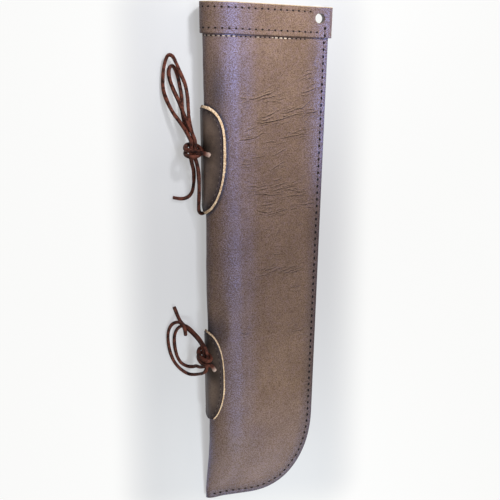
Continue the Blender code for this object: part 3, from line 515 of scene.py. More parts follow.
def lace_material():
    """Red-brown lace leather, lighter along its corners as wear and painted highlight, and pale where
    it frays.
    """
    shader = Shader("lace_leather", (0.012, 0.004, 0.003))
    tone = shader.noise(220.0, 3.0, 0.6)
    fleck = shader.noise(900.0, 4.0, 0.7)
    shader.tone(tone, 0.32, 0.66, (0.140, 0.042, 0.026))
    shader.wear("rub_and_highlight", shader.span(fleck, 0.36, 0.66), (0.560, 0.215, 0.130))
    shader.tone(fleck, 0.50, 0.72, (0.014, 0.005, 0.004), 0.50)
    shader.wear("fray", 1.0, (0.62, 0.46, 0.38))
    return shader.finish(Roughness=0.60, Normal=shader.bump(fleck, 0.6, 0.0006),
                         Specular_IOR_Level=0.25)


def hole_shade_material():
    """Painted shade: a dark disc standing for the shaded inside of a stitch hole."""
    shader = Shader("stitch_hole_shade", (0.006, 0.004, 0.005))
    shader.tint(shader.noise(800.0), (0.014, 0.009, 0.009))
    return shader.finish(Roughness=0.9)


# Plan and section of the sheath, as the solids have them

def clamp(value):
    return min(max(value, 0.0), 1.0)


def lerp(start, end, share):
    return start + (end - start) * share


def unit(vector):
    return vector / max(np.linalg.norm(vector), TINY)


def closing(y):
    rise = (y - BOTTOM_Y - FLANGE) / (FLATTEN_LENGTH - FLANGE)
    return math.sin(clamp(rise) * math.pi / 2)


def spine_x(y):
    run = min((TOP_Y - y) / STRAIGHT, 1.0)
    return LEFT_X + SPINE_DRAW * run - FLATTEN_SPREAD * (1.0 - closing(y))


def back_level(y):
    share = np.clip((BOTTOM_Y + TOE_DROP_START - y) / TOE_DROP_RUN, 0.0, 1.0)
    return lerp(BACK_LEVEL, TOE_LEVEL, share * share * (3.0 - 2.0 * share))


def toe_curve(share):
    corner = np.array((spine_x(BOTTOM_Y), BOTTOM_Y))
    flat_end = corner + np.array((TOE_FLAT, TOE_RISE))
    side = SEAM_FOOT + unit(SEAM_FOOT - SEAM_TOP) * TOE_SIDE_HANDLE
    end = flat_end + unit(flat_end - corner) * TOE_END_HANDLE
    left = 1.0 - share
    return (SEAM_FOOT * left**3 + side * 3 * left**2 * share
            + end * 3 * left * share**2 + flat_end * share**3)


OUTLINE = np.array([SEAM_TOP, *[toe_curve(share) for share in np.linspace(0.0, 1.0, 49)],
                    (spine_x(BOTTOM_Y), BOTTOM_Y)])


def nearest_on(line, points):
    """Each point's offset from a line, the nearest segment and the share of the way along it."""
    step = np.diff(line, axis=0)
    away = points[:, None] - line[None, :-1]
    along = np.clip((away * step).sum(2) / (step * step).sum(1), 0.0, 1.0)
    offset = away - step * along[..., None]
    pick = np.arange(len(points)), np.linalg.norm(offset, axis=2).argmin(axis=1)
    return offset[pick], pick[1], along[pick]


def edge_distance(points):
    """Distance from each plan point to the sewn edge."""
    return np.linalg.norm(nearest_on(OUTLINE, points)[0], axis=1)


def row_ends(run):
    if run <= 1.0:
        spine_y = TOP_Y - ROW_RUN * run
        sewn = lerp(SEAM_TOP, SEAM_FOOT, run)
    else:
        spine_y = lerp(TOP_Y - ROW_RUN, BOTTOM_Y, run - 1.0)
        sewn = toe_curve(run - 1.0)
    return np.array((spine_x(spine_y), spine_y)), sewn


def swell(share):
    """Rise of the front from the flange to the crown, rounded over at the crown."""
    left = np.hypot(1.0 - share, CROWN_EASE) - CROWN_EASE
    return 1.0 - (left / (math.hypot(1.0, CROWN_EASE) - CROWN_EASE)) ** SWELL_POWER


def eased(distance):
    """Distance past the flange, with the sheet leaving the flange in a soft curve."""
    past, flat = distance - RISE_START, -FLANGE - RISE_START
    return (past + np.hypot(past, RISE_EASE) - flat - math.hypot(flat, RISE_EASE)) / 2


def cross_row(run, steps):
    """Middle surface of one cross row: start, direction, (across, height) points, spine's place."""
    back_steps, under_steps, over_steps, front_steps, flange_steps = steps
    start, sewn = row_ends(run)
    width = float(np.linalg.norm(sewn - start))
    direction = (sewn - start) / width
    crown = FLANGE_LEVEL + FOLD_ROOM + (FULL_CROWN - FLANGE_LEVEL - FOLD_ROOM) * closing(start[1])
    scale = crown / FULL_CROWN
    over, under = SPINE_OVER * scale, SPINE_UNDER * scale
    level, nose = crown * SPINE_LEVEL_SHARE, LEATHER / 2
    back = np.concatenate((np.linspace(width, width - FLANGE, flange_steps + 1),
                           np.linspace(width - FLANGE, nose + under, back_steps + 1)[1:]))
    angle = np.linspace(0.0, math.pi / 2, under_steps + 1)[1:]
    low = np.stack((nose + under * (1.0 - np.sin(angle)), level * (1.0 - np.cos(angle))), axis=1)
    angle = np.linspace(0.0, math.pi / 2, over_steps + 1)[1:]
    high = np.stack((nose + over * (1.0 - np.cos(angle)),
                     level + (crown - level) * np.sin(angle)), axis=1)
    crown_across = nose + over
    front = np.concatenate((np.linspace(crown_across, width - FLANGE, front_steps + 1)[1:],
                            np.linspace(width - FLANGE, width, flange_steps + 1)[1:]))
    plan = start + direction * np.append(front, crown_across)[:, None]
    distance = eased(edge_distance(plan) - FLANGE)
    share = swell(np.minimum(distance[:-1] / max(float(distance[-1]), TINY), 1.0))
    fold = (1.0 + np.cos(math.pi * np.minimum((front - crown_across) / FOLD_RUN, 1.0))) / 2
    height = FLANGE_LEVEL + FOLD_ROOM * fold + (crown - FLANGE_LEVEL - FOLD_ROOM) * share
    flat = np.stack((back, np.zeros(len(back))), axis=1)
    points = np.concatenate((flat, low, high, np.stack((front, height), axis=1)))
    return start, direction, points, len(flat) + len(low) - 1


def placed(start, direction, points):
    """World points of (across, height) pairs on a row."""
    plan = start + direction * points[:, :1]
    return np.column_stack((plan, points[:, 1] + back_level(plan[:, 1])))


def arcs_of(points, zero_place=0):
    lengths = np.concatenate(([0.0], np.cumsum(np.linalg.norm(np.diff(points, axis=0), axis=1))))
    return lengths - lengths[zero_place]


def offset_line(points, lift):
    tangent = np.gradient(points, axis=0)
    tangent /= np.maximum(np.linalg.norm(tangent, axis=1), TINY)[:, None]
    return points + np.stack((-tangent[:, 1], tangent[:, 0]), axis=1) * lift


def wrap_line(y, lift):
    start, direction, points, nose = cross_row((TOP_Y - y) / ROW_RUN, FINE)
    return start, direction, offset_line(points, lift), arcs_of(points, nose)


def on_line(line, arcs):
    start, direction, points, place = line
    across = np.interp(arcs, place, points[:, 0])
    height = np.interp(arcs, place, points[:, 1])
    return placed(start, direction, np.stack((across, height), axis=1))


def arc_at(line, across, front):
    points, arcs = line[2], line[3]
    side = arcs >= 0 if front else arcs <= 0
    order = np.argsort(points[side, 0])
    return float(np.interp(across, points[side, 0][order], arcs[side][order]))


def round_spine(line, across):
    """Points from one place across the back to the same place across the front."""
    return on_line(line, np.linspace(arc_at(line, across, False), arc_at(line, across, True), 150))


@functools.cache
def tab_line(y):
    """Middle line of a tab: round the spine, squarer below to leave the lace its tunnel."""
    start, direction, points, nose = cross_row((TOP_Y - y) / ROW_RUN, FINE)
    upper = offset_line(points, TAB_LIFT)[nose:]
    left = LEATHER / 2 - TAB_LIFT
    angle = np.linspace(0.0, math.pi / 2, 13)
    corner = np.stack((left + TUNNEL_CORNER - TUNNEL_CORNER * np.sin(angle),
                       TUNNEL_CORNER - TAB_LIFT - TUNNEL_CORNER * np.cos(angle)), axis=1)
    line = np.concatenate((((left + TAB_BACK_REACH, -TAB_LIFT),), corner, upper))
    return start, direction, line, arcs_of(line, len(corner) + 1)


# Meshes

def mesh_object(name, points, faces, materials, indices=None):
    mesh = bpy.data.meshes.new(name)
    mesh.from_pydata([tuple(point) for point in points], [], faces)
    for material in materials:
        mesh.materials.append(material)
    if indices is not None:
        mesh.polygons.foreach_set("material_index", np.asarray(indices, np.int32))
    mesh.shade_smooth()
    mesh.update()
    obj = bpy.data.objects.new(name, mesh)
    SCENE.collection.objects.link(obj)
    return obj


def dress(obj, node):
    """The piece stands for a node, hiding its imported solid, and rides on the holder."""
    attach(obj, "root")
    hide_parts(node)


def add_attribute(obj, name, values):
    layer = obj.data.attributes.new(name, "FLOAT", "POINT")
    layer.data.foreach_set("value", np.asarray(values, np.float32))


def grid_faces(rows, columns, close_rows=False, close_columns=False, first=0):
    """Quads of a grid whose points run along its columns first."""
    faces = []
    for row in range(rows if close_rows else rows - 1):
        below = (row + 1) % rows
        for column in range(columns if close_columns else columns - 1):
            beside = (column + 1) % columns
            faces.append((first + row * columns + column, first + row * columns + beside,
                          first + below * columns + beside, first + below * columns + column))
    return faces


def turn_outwards(obj, merge=None):
    """Face normals out, after joining points closer than merge."""
    shape = bmesh.new()
    shape.from_mesh(obj.data)
    if merge:
        bmesh.ops.remove_doubles(shape, verts=shape.verts, dist=merge)
    bmesh.ops.recalc_face_normals(shape, faces=shape.faces)
    shape.to_mesh(obj.data)
    shape.free()


def surface_of(obj):
    bpy.context.view_layer.update()
    return BVHTree.FromObject(obj, bpy.context.evaluated_depsgraph_get())


def resample(points, pitch):
    points = np.array(points)
    lengths = arcs_of(points)
    count = max(int(round(lengths[-1] / pitch)), 1)
    places = np.linspace(0.0, lengths[-1], count + 1)
    return np.stack([np.interp(places, lengths, points[:, axis]) for axis in range(3)], axis=1)


def waves(points, amount, shortest, longest, count, seed):
    """A smooth random field over points."""
    draw = np.random.default_rng(seed)
    total = np.zeros(len(points))
    for _ in range(count):
        wave = 2 * math.pi / draw.uniform(shortest, longest)
        way = unit(draw.normal(size=3))
        total += np.sin(points @ way * wave + draw.uniform(0, 2 * math.pi))
    return total * amount / math.sqrt(count)


def ramp(value, start, run):
    """0 up to start, and 1 from a run beyond it."""
    return np.clip((value - start) / run, 0.0, 1.0)


def falloff(distance, radius):
    share = np.clip(1.0 - distance / radius, 0.0, 1.0)
    return share * share * (3.0 - 2.0 * share)


def spot(points, place, reach):
    """1 at a place, falling to 0 at its reach."""
    return falloff(np.linalg.norm((points - np.array(place)) / reach, axis=1), 1.0)


def rubbed(points):
    """Where hands have polished the leather: the crown, the upper seam edge and the toe."""
    x, y = points[:, 0], points[:, 1]
    crown = np.abs(x - np.array([spine_x(each) for each in y]) - SPINE_OVER)
    seam = falloff(edge_distance(points[:, :2]), SEAM_POLISH)
    return np.maximum.reduce([
        falloff(crown, CROWN_POLISH) * np.interp(y, HANDLED_YS, HANDLED),
        seam * ramp(y, SEAM_POLISH_START, SEAM_POLISH_RUN),
        ramp(y, TOE_POLISH_START, -TOE_POLISH_RUN) * 0.75])


# Laces

def smooth_route(points, step):
    """A smooth line at even steps, in metres, through a route in millimetres."""
    points = np.array(points, dtype=float) / 1000
    ends = [2 * points[0] - points[1], *points, 2 * points[-1] - points[-2]]
    fine = []
    for before, start, end, after in zip(ends, ends[1:], ends[2:], ends[3:]):
        for share in np.linspace(0.0, 1.0, 9)[:-1]:
            pull, push = end - before, after - start
            square, cube = share**2, share**3
            fine.append((2 * cube - 3 * square + 1) * start + (cube - 2 * square + share) * pull / 2
                        + (3 * square - 2 * cube) * end + (cube - square) * push / 2)
    fine.append(points[-1])
    return resample(fine, step)


def wrap_turns(knot, half_sizes, lean, slope, climb):
    """Turns of lace round the strands of a knot, starting behind them."""
    broad = np.array((math.sin(lean), 0.0, math.cos(lean)))
    flat = np.array((-math.cos(lean), 0.0, math.sin(lean)))
    points = []
    for turn in np.arange(int(WRAP_TURNS * WRAP_POINTS) + 1) / WRAP_POINTS:
        angle = 2 * math.pi * turn
        out = flat * half_sizes[0] * math.sin(angle) - broad * half_sizes[1] * math.cos(angle)
        out[1] += (turn - WRAP_TURNS / 2) * climb - slope * out[2]
        points.append(np.array(knot) + out)
    return points


def make_lace(node, route, material, fray, seed, half_width):
    """A square-cut lace with soft corners, swept along its route."""
    path = smooth_route(route, LACE_STEP)
    tangent = np.gradient(path, axis=0)
    tangent /= np.linalg.norm(tangent, axis=1)[:, None]
    side = np.cross(tangent[0], (0.0, 0.0, 1.0))
    if np.linalg.norm(side) < 0.2:
        side = np.cross(tangent[0], (0.0, 1.0, 0.0))
    phase = np.random.default_rng(seed).uniform(0, 2 * math.pi, 3)
    angle = np.linspace(0.0, 2 * math.pi, LACE_SIDES, endpoint=False)
    reach = (np.abs(np.cos(angle)) ** LACE_SQUARENESS
             + np.abs(np.sin(angle)) ** LACE_SQUARENESS) ** (-1 / LACE_SQUARENESS)
    corner = np.clip(np.abs(reach - 1.0) * 2.2, 0, 1)
    across, above = np.cos(angle + 0.785) * reach, np.sin(angle + 0.785) * reach
    points, rub_and_highlight, ends = [], [], []
    lengths = arcs_of(path)
    for place, along, run in zip(path, tangent, lengths):
        side = unit(side - along * side.dot(along))
        up = np.cross(side, along)
        twist = 0.5 * math.sin(run * 45.0 + phase[0]) + 0.3 * math.sin(run * 110.0 + phase[1])
        wide = across * half_width * (1.0 + 0.05 * math.sin(run * 300.0 + phase[2]))
        thick = above * 0.93 * half_width * (1.0 + 0.05 * math.sin(run * 210.0 + phase[1]))
        cos, sin = math.cos(twist), math.sin(twist)
        points.extend(place + np.outer(wide * cos - thick * sin, side)
                      + np.outer(wide * sin + thick * cos, up))
        # lighter corners, partly wear and partly painted highlight
        rub_and_highlight.extend(corner * (0.35 + 0.3 * math.sin(run * 160.0 + phase[0])))
        ends.extend([clamp(1.0 - (lengths[-1] - run) / FRAY_LENGTH) if fray else 0.0] * LACE_SIDES)
    faces = grid_faces(len(path), LACE_SIDES, close_columns=True)
    for ring, way in ((0, -1.0), (len(path) - 1, 1.0)):
        points.append(path[ring] + tangent[ring] * way * 0.0003)
        rub_and_highlight.append(0.2)
        ends.append(1.0 if fray and ring else 0.3)
        for place in range(LACE_SIDES):
            faces.append((ring * LACE_SIDES + place, ring * LACE_SIDES + (place + 1) % LACE_SIDES,
                          len(points) - 1))
    obj = mesh_object("dressed_" + node, points, faces, [material])
    turn_outwards(obj)
    add_attribute(obj, "rub_and_highlight", np.clip(rub_and_highlight, 0, 1))
    add_attribute(obj, "fray", ends)
    dress(obj, node)


def make_laces():
    """Both laces, in the stretches that the solids have."""
    lace = lace_material()
    upper = [*UPPER_KNOT_START, *wrap_turns(*UPPER_WRAP), *UPPER_KNOT_TAIL]
    lower = [*LOWER_KNOT_START, *wrap_turns(*LOWER_WRAP), *LOWER_KNOT_TAIL]
    stretches = (
        ("upper_lace_knot", upper, 0.090, "bare"),
        ("upper_lace_lead", UPPER_LEAD, 0.129, "object"),
        ("upper_lace_outer_loop", UPPER_OUTER_LOOP, 0.176, "object"),
        ("upper_lace_inner_loop", UPPER_INNER_LOOP, 0.154, "object"),
        ("upper_lace_tail", UPPER_TAIL, 0.061, "bare"),
        ("lower_lace_knot", lower, 0.071, "bare"),
        ("lower_lace_lead", LOWER_LEAD, 0.049, "object"),
        ("lower_lace_outer_loop", LOWER_OUTER_LOOP, 0.119, "bare"),
        ("lower_lace_inner_loop", LOWER_INNER_LOOP, 0.123, "object"),
        ("lower_lace_tail", LOWER_TAIL, 0.061, "bare"))
    for seed, (node, route, length, far_end) in enumerate(stretches):
        knot = node.endswith("knot")
        half_width = (0.00158 if node.startswith("upper") else 0.00148) + (0.00025 if knot else 0.0)
        make_lace(node, route, lace, knot, seed, half_width)


# Sheath

def crease_lines():
    """The traced creases, each with fainter ones beside it, and loose short ones."""
    draw = np.random.default_rng(21)
    lines = []
    for strength, places in CREASES:
        route = resample([(x / 1000, y / 1000, 0.0) for x, y in places], CREASE_STEP)[:, :2]
        strength = strength ** 0.7
        lines.append((strength, route))
        for _ in range(CREASES_BESIDE):
            first = draw.integers(0, max(len(route) - 4, 1))
            last = first + draw.integers(3, 9)
            shift = draw.uniform(-0.003, 0.003), draw.choice((-1, 1)) * draw.uniform(0.0015, 0.005)
            lines.append((strength * draw.uniform(0.25, 0.55), route[first:last] + shift))
    for _ in range(LOOSE_CREASES):
        start = draw.uniform(-0.022, 0.040), draw.uniform(-0.030, 0.192)
        heading, bend = math.radians(draw.uniform(5, 65)), draw.uniform(-40, 40)
        run = np.arange(0.0, draw.uniform(0.006, 0.018), CREASE_STEP)
        angle = heading + bend * run
        route = start + np.column_stack((np.cos(angle), np.sin(angle))) * run[:, None]
        lines.append((draw.uniform(0.12, 0.34), route))
    return [(strength, route) for strength, route in lines if len(route) > 2]


def crease_heights(places, front):
    """Lift at each plan place: a fine raised line with a sunken line on its toe side."""
    height = np.zeros(len(places))
    for strength, route in crease_lines():
        low, high = route.min(axis=0) - 0.003, route.max(axis=0) + 0.003
        near = np.flatnonzero(front & (places > low).all(axis=1) & (places < high).all(axis=1))
        offset, segment, along = nearest_on(route, places[near])
        across = np.linalg.norm(offset, axis=1) * np.sign(offset[:, 1]) / CREASE_HALF_WIDTH
        lengths = arcs_of(route)
        run = (lengths[segment] + along * np.diff(lengths)[segment]) / lengths[-1]
        fade = np.sqrt(np.sin(math.pi * np.clip(run, 0.0, 1.0)).clip(0.0))
        height[near] += strength * fade * (np.exp(-across**2) - 0.8 * np.exp(-(across + 1.3) ** 2))
    return height * CREASE_LIFT


def make_sheath(leather, edge, lining):
    """The folded sheet at fine steps, with the soft unevenness of worn leather."""
    runs = [run for start, end, count in SHEATH_ROWS for run in np.linspace(start, end, count)[:-1]]
    rows = [cross_row(run, SHEATH_STEPS) for run in (*runs, SHEATH_ROWS[-1][1])]
    middle = np.array([placed(*row[:3]) for row in rows])
    count, columns = middle.shape[:2]
    front = np.arange(columns) > columns - SHEATH_STEPS[3] - 2 * SHEATH_STEPS[4]
    normal = np.cross(np.gradient(middle, axis=0), np.gradient(middle, axis=1))
    normal /= np.maximum(np.linalg.norm(normal, axis=2), TINY)[..., None]
    if normal[:, front, 2].mean() < 0:
        normal = -normal
    flat = middle.reshape(-1, 3)
    distance = edge_distance(flat[:, :2])
    fade = ramp(distance, 0.006, 0.012) * ramp(flat[:, 1], 0.202, -0.02)
    creases = crease_heights(flat[:, :2], np.tile(front, count)) * ramp(distance, 0.005, 0.004)
    lift = (waves(flat, 0.00024, 0.035, 0.11, 14, 3) + waves(flat, 0.00007, 0.008, 0.02, 16, 4)) * fade
    lift -= falloff(np.abs(distance - SEAM_INSET), SEAM_PULL_REACH) * SEAM_PULL
    lift -= spot(flat, DENT, DENT_REACH) * DENT_DEPTH
    lift = (lift + creases).reshape(count, columns, 1)
    outer = middle + normal * (LEATHER / 2 + lift)
    inner = middle - normal * (LEATHER / 2) + normal * np.minimum(lift, 0.0)
    size = count * columns
    points = np.concatenate((outer.reshape(-1, 3), inner.reshape(-1, 3)))
    outside = grid_faces(count, columns)
    inside = [tuple(reversed(face)) for face in grid_faces(count, columns, first=size)]
    place = np.arange(size).reshape(count, columns)
    rim = np.concatenate((place[:, 0], place[-1, 1:], place[-2::-1, -1], place[0, -2:0:-1])).tolist()
    around = [(here, there, there + size, here + size) for here, there in zip(rim, rim[1:] + rim[:1])]
    indices = [0] * len(outside) + [2] * len(inside) + [1] * len(around)
    obj = mesh_object("dressed_sheath", points, outside + inside + around,
                      [leather, edge, lining], indices)
    turn_outwards(obj)
    worn, polish, bare = falloff(distance, WORN_EDGE), rubbed(flat), np.zeros(size)
    # masks for painted shade in the crease hollows and painted highlight on the crease crests
    crease_shade = np.clip(-2.2 * creases / CREASE_LIFT, 0.0, 1.0)
    crease_highlight = np.clip(1.4 * creases / CREASE_LIFT, 0.0, 1.0)
    # painted shade along the lower seam margin, in a pinch above the lower tab, on the flank above the
    # upper tab and beside the tabs
    painted_shade = np.maximum.reduce([falloff(distance, SEAM_SHADE) * ramp(flat[:, 1], 0.10, -0.08) * 0.75,
                             spot(flat, PINCH_SHADE, PINCH_SHADE_REACH) * 1.4,
                             spot(flat, FLANK_SHADE, FLANK_SHADE_REACH) * 0.95,
                             tab_shade(flat, UPPER_TAB) * 1.7, tab_shade(flat, LOWER_TAB) * 0.35])
    for name, grain, flesh in (("edge", worn, worn), ("crease_shade", crease_shade, bare),
                               ("rubbed", polish, polish), ("painted_shade", painted_shade, bare), ("crease_highlight", crease_highlight, bare)):
        add_attribute(obj, name, np.concatenate((grain, flesh)))
    bevel = obj.modifiers.new("soft_edge", "BEVEL")
    bevel.width = SOFT_EDGE
    bevel.segments = 2
    bevel.limit_method = "ANGLE"
    bevel.angle_limit = math.radians(60)
    dress(obj, "sheath_body")
    return obj


def strip_profile(top, bottom, inner, outer, radius, rows):
    """Closed (depth, lift) profile: down the outer face, round the foot, up the inner face."""
    near, far, low, high = top + radius, bottom - radius, inner + radius, outer - radius
    faces = {0: [(depth, outer) for depth in np.linspace(near, far, rows)[1:-1]],
             2: [(depth, inner) for depth in np.linspace(far, near, rows)[1:-1]]}
    profile = []
    for quarter, (depth, lift) in enumerate(((near, high), (far, high), (far, low), (near, low))):
        for angle in math.pi * (1.0 - quarter / 2) - np.linspace(0.0, math.pi / 2, 4):
            profile.append((depth + radius * math.cos(angle), lift + radius * math.sin(angle)))
        profile += faces.get(quarter, [])
    return profile


def band_ring(y, lift):
    """Closed line round the sheath's outside at y, lifted off its middle surface."""
    start, direction, points, _ = cross_row((TOP_Y - y) / ROW_RUN, BAND_STEPS)
    width = points[-1, 0]
    angle = np.linspace(0.0, math.pi / 2, 9)
    front = np.stack((width + lift * np.sin(angle[1:]),
                      FLANGE_LEVEL + lift * np.cos(angle[1:])), axis=1)
    back = np.stack((width + lift * np.cos(angle[:-1]), -lift * np.sin(angle[:-1])), axis=1)
    return placed(start, direction, np.concatenate((offset_line(points, lift), front, back)))


def make_band(leather, edge):
    """The mouth band: one strip right round, raw along its upper edge."""
    inner, outer = LEATHER / 2 + GAP, LEATHER / 2 + GAP + BAND_LEATHER
    profile = strip_profile(0.0, BAND_HEIGHT, inner, outer, 0.0005, 22)
    rings = []
    for depth, lift in profile:
        away = min(abs(depth - BAND_INSET), abs(depth - BAND_HEIGHT + BAND_INSET))
        pull = BAND_PULL * falloff(away, BAND_PULL_REACH) if lift > outer - 1e-6 else 0.0
        rings.append(band_ring(TOP_Y - depth, lift - pull))
    rings = np.array(rings)
    count, columns = rings.shape[:2]
    points = rings.reshape(-1, 3)
    upper = points[:, 2] > FULL_CROWN / 4
    points[:, 2] += waves(points, 0.00010, 0.02, 0.07, 12, 8) * upper
    faces = grid_faces(count, columns, close_rows=True, close_columns=True)
    depths = np.array([depth for depth, _ in profile])
    raw = np.maximum(depths, np.roll(depths, -1)) < 0.0006
    obj = mesh_object("dressed_band", points, faces, [leather, edge], np.repeat(raw, columns))
    turn_outwards(obj)
    # painted shade along the band's lower edge
    add_attribute(obj, "edge", falloff(BAND_HEIGHT - np.repeat(depths, columns), 0.0009) * 0.25)
    add_attribute(obj, "rubbed", rubbed(points))
    dress(obj, "mouth_band")
    return obj


def make_facing(lining):
    """The thin strip inside the mouth."""
    outer = -(LEATHER / 2 + FACING_GAP)
    rings = []
    profile = strip_profile(FACING_RECESS, FACING_HEIGHT, outer - FACING_LEATHER, outer, 0.0003, 12)
    for depth, lift in profile:
        line = wrap_line(TOP_Y - depth, lift)
        rings.append(round_spine(line, line[2][:, 0].max() - FLANGE - FACING_STOP))
    rings = np.array(rings)
    count, columns = rings.shape[:2]
    faces = grid_faces(count, columns, close_rows=True)
    place = np.arange(count * columns).reshape(count, columns)
    faces += [place[:, 0].tolist(), place[::-1, -1].tolist()]
    obj = mesh_object("dressed_facing", rings.reshape(-1, 3), faces, [lining])
    turn_outwards(obj)
    dress(obj, "mouth_facing")


def punch(pieces, wall):
    """Cut the hang hole through each piece."""
    bpy.ops.mesh.primitive_cylinder_add(vertices=64, radius=HOLE_DIAMETER / 2 + HOLE_ROOM,
                                        depth=DEPTH * 1.5, location=(*HOLE_PLACE, DEPTH / 2))
    cutter = bpy.context.object
    cutter.data.materials.append(wall)
    for obj in pieces:
        boolean = obj.modifiers.new("hang_hole", "BOOLEAN")
        boolean.solver = "EXACT"
        boolean.object = cutter
        bpy.context.view_layer.update()
        graph = bpy.context.evaluated_depsgraph_get()
        mesh = bpy.data.meshes.new_from_object(obj.evaluated_get(graph), depsgraph=graph)
        obj.modifiers.clear()
        obj.data = mesh
    bpy.data.objects.remove(cutter, do_unlink=True)


# Tabs

def tab_boundary(tab):
    """(distance up the spine, distance round it) along the tab's edge, from its centre."""
    _, up, down, widest, powers = tab
    boundary = []
    for angle in np.linspace(0.0, 2 * math.pi, 241)[:-1]:
        c, s = math.cos(angle), math.sin(angle)
        reach, power = (up, powers[0]) if c > 0 else (down, powers[1])
        boundary.append((reach * math.copysign(abs(c) ** (2 / power), c),
                         widest * math.copysign(abs(s) ** (2 / power), s), 0.0))
    return resample(boundary, TAB_EDGE_STEP)[:, :2]


def tab_point(y, arc, lift):
    """The point an arc's length from the spine, lifted off the tab's middle."""
    start, direction, line, arcs = tab_line(y)
    return on_line((start, direction, offset_line(line, lift), arcs), np.array([arc]))[0]


def tab_shade(points, tab):
    """Painted shade on the sheath: 1 at the tab's edge, falling to 0 a few millimetres away."""
    outline = np.array([tab_point(round(tab[0] + y, 4), arc, -TAB_LIFT)
                        for y, arc in tab_boundary(tab)])
    near = np.flatnonzero((np.abs(points[:, 1] - tab[0]) < SHADE_SPAN) & (points[:, 0] < SHADE_RIGHT)
                          & (points[:, 2] > SHADE_FLOOR))
    shade = np.zeros(len(points))
    for some in np.array_split(near, len(near) // 4000 + 1):
        away = np.linalg.norm(points[some, None] - outline[None], axis=2).min(axis=1)
        shade[some] = falloff(away, TAB_SHADE)
    return shade


def tab_half_width(y, tab):
    centre, up, down, widest, powers = tab
    reach, power = (up, powers[0]) if y > centre else (down, powers[1])
    return widest * max(1.0 - abs((y - centre) / reach) ** power, 0.0) ** (1.0 / power)


def make_tab(node, tab, cut_width, lace_shadows, leather, edge):
    """An oval patch in rings: dark grain face, a creased margin and a slanting raw edge."""
    centre, widest = tab[0], tab[3]
    boundary = tab_boundary(tab)
    size = np.linalg.norm(boundary, axis=1)
    draw = np.random.default_rng(5)
    ragged = 0.00018 * np.sin(np.arange(len(size)) * 1.7) + draw.normal(0, 0.00026, len(size))
    half = TAB_LEATHER / 2
    margin = cut_width + 0.0007
    # Rings as (inset, lift): the face, the margin's crease, the slanting cut, the underside
    face_rings = [(inset, half) for inset in np.linspace(widest, margin + 0.0012, 26)]
    margin_rings = [(margin + 0.0007, half - 0.0001), (margin + 0.0003, half - 0.00050),
                    (margin, half - 0.00062), (margin - 0.0004, half - 0.0001),
                    (cut_width, half + 0.00012)]
    cut_rings = [(lerp(cut_width, 0.0, share), lerp(half + 0.0001, -half * 0.2, share ** 1.4))
                 for share in (0.12, 0.3, 0.5, 0.7, 0.86, 1.0)]
    under_rings = [(0.0, -half * 0.9), (0.0006, -half)]
    under_rings += [(inset, -half) for inset in np.linspace(0.003, widest, 10)]
    rings = face_rings + margin_rings + cut_rings + under_rings
    points = []
    for inset, lift in rings:
        scale = np.maximum(1.0 - inset / (size if inset < 0.004 else np.minimum(size, widest)), 0.0)
        loose = ragged * (clamp(1.0 - inset / max(cut_width, 0.001)) if lift > -half * 0.5 else 0.0)
        for y, arc in boundary * (scale + loose / size)[:, None]:
            points.append(tab_point(round(centre + y, 4), arc, lift))
    columns = len(boundary)
    faces = grid_faces(len(rings), columns, close_columns=True)
    first_cut = len(face_rings) + len(margin_rings) - 1
    rows = np.arange(len(rings) - 1)
    raw = (rows >= first_cut) & (rows <= first_cut + len(cut_rings))
    obj = mesh_object("dressed_" + node, points, faces, [leather, edge], np.repeat(raw, columns))
    turn_outwards(obj, 1e-6)
    coords = np.array([vert.co for vert in obj.data.vertices])
    crease = np.array(points).reshape(len(rings), columns, 3)[len(face_rings) + 2]
    near = np.min(np.linalg.norm(coords[:, None] - crease[None, ::2], axis=2), axis=1)
    # mask of painted shade in the crease just inside the cut edge
    add_attribute(obj, "edge", falloff(near, cut_width * 1.35) * 1.1)
    add_attribute(obj, "rim", falloff(near, 0.011))
    # mask of painted shadow of the knot and lace strands
    add_attribute(obj, "lace_shadow", np.maximum.reduce([spot(coords, *lace_shadow) for lace_shadow in lace_shadows]))
    dress(obj, node)
    return obj


# Threads

def seats_on(tree, path, pitch):
    """Places at even steps along a path, each with the surface's normal."""
    seats = []
    for point in resample(path, pitch):
        point = Vector(point)
        place, normal, _, _ = tree.find_nearest(point)
        seats.append((place, normal if normal.dot(point - place) > 0 else -normal))
    return seats


